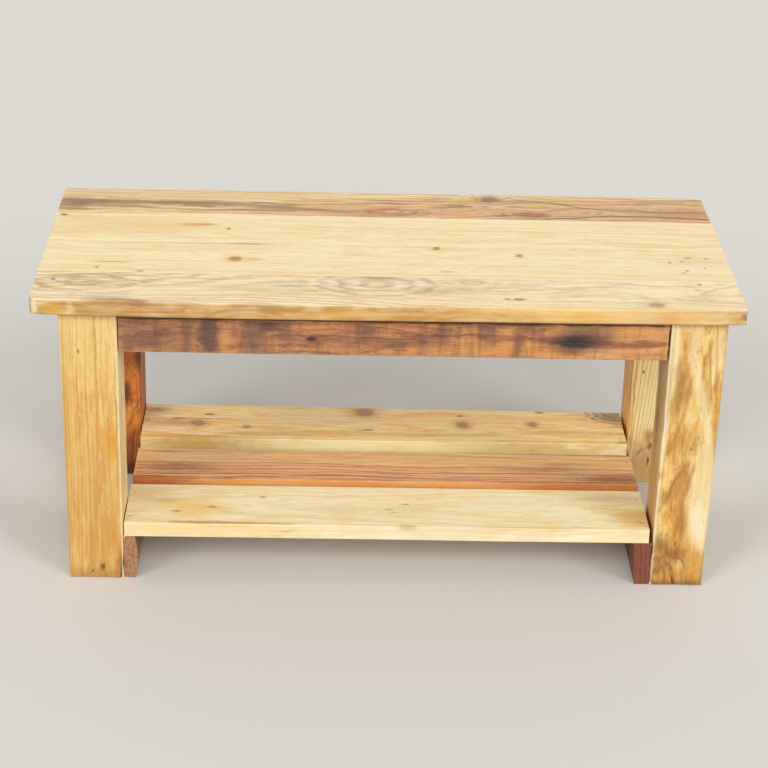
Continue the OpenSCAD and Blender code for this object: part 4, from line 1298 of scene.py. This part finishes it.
timber(
    "shelf_board_middle", "striped_brown_shelf", FLAT_BOARD, 57,
    dict(
        hollows=0.25, reshape=partial(bowed, course=[(-379, 1.5), (391, -3)], start=-61.0, end=38.0),
        **SHELF_ARRISES,
    ),
    # Painted light: the pale tone is raised to make up for the shade of the top over the shelf.
    pith=(-64, 50), pale="FFD690", dark="A4652F", ring=3.6, lean=(-0.02, 0.012), sway=4.0, lines=0.95,
    fibre=0.45, clouds=[("D09A60", 0.5, (90, 8, 9), 0.48, 0.64), ("F2CE98", 0.5, (60, 7, 9), 0.54, 0.66)],
    specks=("6A3A24", 0.5),
    bands=[
        (
            [(-380, -70), (395, -70)],
            [(-380, -4), (-260, -8), (-130, -2), (0, -8), (140, -14), (290, -12), (395, -14)], 6.0,
            "F6BE88", "A65C34", 0.85,
        ),
    ],
    sides=[((0, -1, 0), "E8A452", 0.85)], face=("Z", 89, 12),
    stains=[
        ((-350, -61, 80), (60, 7, 14), "C25E2C", 0.7, 0.6),
        ((300, -61, 80), (90, 7, 14), "C87038", 0.6, 0.7),
        ((-60, -61, 80), (90, 7, 10), "E0924A", 0.5, 0.8), (-310, -22, 44, 12, "7E4A3C", 0.6, 0.9),
        (360, -44, 50, 12, "7E4430", 0.6, 0.8), (240, -14, 60, 8, "AE6E4C", 0.5, 0.8),
        (80, 10, 60, 8, "F0CA92", 0.5, 0.8), (-333, 29, 30, 3, "8A6040", 0.6, 0.8),
        (-277, 42, 14, 4, "7E5A40", 0.6, 0.7),
    ],
    ribs=[
        ([(-379, -9), (-292, -8), (-130, -6), (60, -13), (200, -10), (391, -16)], 2.0, "965A3C", 0.6),
        ([(-379, -19), (-290, -20), (-130, -14), (-10, -20), (143, -30), (391, -26)], 1.8, "9A5A3C", 0.6),
        ([(-379, -29), (-260, -29), (-130, -24), (80, -34), (235, -30), (391, -36)], 2.0, "8E4E34", 0.65),
        ([(-379, -39), (-260, -38), (-10, -34), (82, -44), (233, -42), (391, -46)], 1.8, "9A5A3C", 0.6),
        ([(-379, -48), (-128, -42), (-10, -48), (142, -54), (391, -55)], 2.0, "8A4A30", 0.7),
        ([(-379, -55), (-200, -53), (0, -57), (200, -58)], 1.4, "9A5A3C", 0.6),
        ([(-330, -24), (-180, -20), (-10, -27), (200, -20)], 1.6, "F0B888", 0.6),
        ([(-300, -34), (-130, -32), (0, -40), (160, -48)], 1.8, "F0B888", 0.6),
        ([(-260, -44), (-130, -49), (60, -52), (300, -50)], 1.4, "EDB07C", 0.55),
    ],
    pips=[(-274, 45, 89, 8, 2.4)], end_tone="9A6238",
)

timber(
    "shelf_board_rear", "honey_shelf", FLAT_BOARD, 63,
    dict(
        hollows=0.35, splits=[(2, 1, (142, 141), -378.5, -250, 0.9, 5.0)],
        dents=[(-26, 176, 90, 9, 0.8), (261, 184, 90, 6, 0.8)],
        reshape=partial(bowed, course=[(-379, 3), (391, -3.5)], start=73.0, end=191.0), **SHELF_ARRISES,
    ),
    # Painted light: the pale and dark tones are raised to make up for the shade of the top over the shelf.
    pith=(112, 48), pale="FFEAA6", dark="EBA03E", ring=4.5, lean=(0.01, 0.02), sway=10.0, fibre=0.22,
    clouds=[
        ("FAB650", 0.6, (60, 9, 12), 0.46, 0.62), ("FFF0C4", 0.7, (60, 10, 12), 0.52, 0.64),
        ("E0A050", 0.32, (40, 6, 8), 0.55, 0.68),
    ],
    specks=("8A6030", 0.35),
    knots=[(-291, 127, 10, 10), (-214, 115, 5, 4), (133, 134, 9, 11), (245, 138, 8, 8), (-26, 173, 15, 14)],
    knot_tones=("86705E", "A08264", "7E6046", "D89A50"), knot_share=0.75,
    pips=[(-275, 158, 90, 9, 3.4), (131, 166, 90, 6, 2.6), (261, 184, 90, 8, 3), (-16, 110, 90, 10, 2.2)],
    pip_tone="5A4432", face=("Z", 90, 30),
    stains=[
        (-325, 128, 36, 12, "B07E48", 0.6, 0.8), (-359, 173, 18, 7, "94704C", 0.6, 0.8),
        (376, 172, 24, 16, "7A5C44", 0.55, 0.8), (-340, 106, 30, 8, "FBEBC0", 0.6, 0.8),
        (-101, 150, 70, 18, "F8E3B2", 0.5, 0.8), (-131, 94, 90, 8, "D89A50", 0.45, 0.8),
        (71, 97, 110, 7, "D89A50", 0.45, 0.8), (297, 111, 80, 7, "C89254", 0.45, 0.8),
        (60, 150, 60, 12, "FFE2A4", 0.5, 0.8), (335, 104, 50, 6, "F3D592", 0.5, 0.8),
        (245, 160, 90, 12, "EEC582", 0.5, 0.8), ((-300, 76, 80), (84, 10, 20), "C2963A", 0.75, 0.8),
        ((385, 80, 80), (12, 6, 14), "B98238", 0.75, 0.4),
        ((270, 76, 80), (120, 8, 14), "DDB058", 0.65, 0.8),
    ],
    ribs=[
        ([(-379, 142), (-330, 143), (-243, 142)], 1.8, "5E5248", 0.9),
        ([(-320, 147), (-240, 146), (-180, 150)], 3.0, "FBEBC4", 0.7),
        ([(120, 76.4), (260, 75.2), (391, 74)], 1.5, "FFF4CC", 0.7),
    ],
    eyes=[((388, 190, 90), (70, 58, 0), 5, "6E5038", 0.6)], sides=[((0, -1, 0), "FFF2C0", 0.85)],
    end_tone="A87A44",
)


BEARER_HEIGHT = 69.0
LEFT_BEARER_THICKNESS = 21.0
RIGHT_BEARER_THICKNESS = 27.0


def left_bearer_shape(points):
    """Flat against the legs, and rounded on the inner side."""
    middle = BEARER_HEIGHT / 2
    thickness = 16.0 + 5.0 * (1 - ((points[:, 2] - middle) / middle) ** 2)
    points[:, 0] = LEFT_INNER_FACE + (points[:, 0] - LEFT_INNER_FACE) / LEFT_BEARER_THICKNESS * thickness
    return points


def right_bearer_shape(points):
    """Thinner towards the floor."""
    thickness = 22.0 + 5.0 * points[:, 2] / BEARER_HEIGHT
    points[:, 0] = RIGHT_INNER_FACE - (RIGHT_INNER_FACE - points[:, 0]) / RIGHT_BEARER_THICKNESS * thickness
    return points


for side, seed, shape, pith, pale, dark, arris in (
    ("left", 69, left_bearer_shape, (34, -250), "B6865E", "845842", "EBC9A4"),
    ("right", 75, right_bearer_shape, (34, 240), "8E4E38", "401A14", "C08464"),
):
    inward = 1 if side == "left" else -1
    timber(
        f"shelf_bearer_{side}", "red_brown_bearer", SIDE_BOARD, seed, dict(reshape=shape, ragged=0.5),
        pith=pith, pale=pale, dark=dark, ring=6.0, lines=0.85, fibre=0.5,
        clouds=[("94563F", 0.5, (60, 8, 8), 0.5, 0.66), ("6E4034", 0.5, (12, 5, 5), 0.55, 0.7)],
        # The arris tone is partly wear and partly a painted highlight where the arrises catch the light.
        specks=("3E2018", 0.6), sides=[((inward, 0, 0), "6E5446", 0.5)], rubbed=(arris, 0.75, 2.6),
        gloss=0.55,
    )


# Plain pine out of sight: the other aprons, the top bearers and the batten


PLAIN_LOOKS = dict(
    pale="E6CD98", dark="B88C54", ring=4.5, lines=0.65, fibre=0.35,
    clouds=[("D9B274", 0.45, (180, 26, 26), 0.45, 0.66)], end_tone="A88050", rubbed=("EBD6A6", 0.35, 3.0),
    gloss=0.6, relief=0.8,
)
for seed, (node, lie, pith) in enumerate(
    [
        ("apron_rear", EDGE_BOARD, (350, 230)),
        ("apron_left", SIDE_BOARD, (440, -500)),
        ("apron_right", SIDE_BOARD, (400, 420)),
        ("top_bearer_left", CROSS_BAR, (-300, 440)),
        ("top_bearer_right", CROSS_BAR, (300, 380)),
        ("top_batten", CROSS_BAR, (40, 350)),
    ],
    start=81,
):
    timber(node, "plain_pine", lie, seed, dict(ripple=0.08, ragged=0.6), pith=pith, **PLAIN_LOOKS)


# Screws, nails and dowels


steel = zinc_steel()
for seed, node in enumerate(SCREWS):
    drive(node, screw_jig(seed), steel, shank=2.0, head=4.0)
for node in NAILS:
    drive(node, nail_jig(5), dark_nail(), shank=1.2, head=1.9)
drive("apron_dowels", dowel_jig(7), dowel_wood(), shank=4.0, head=4.0)


bpy.context.view_layer.update()
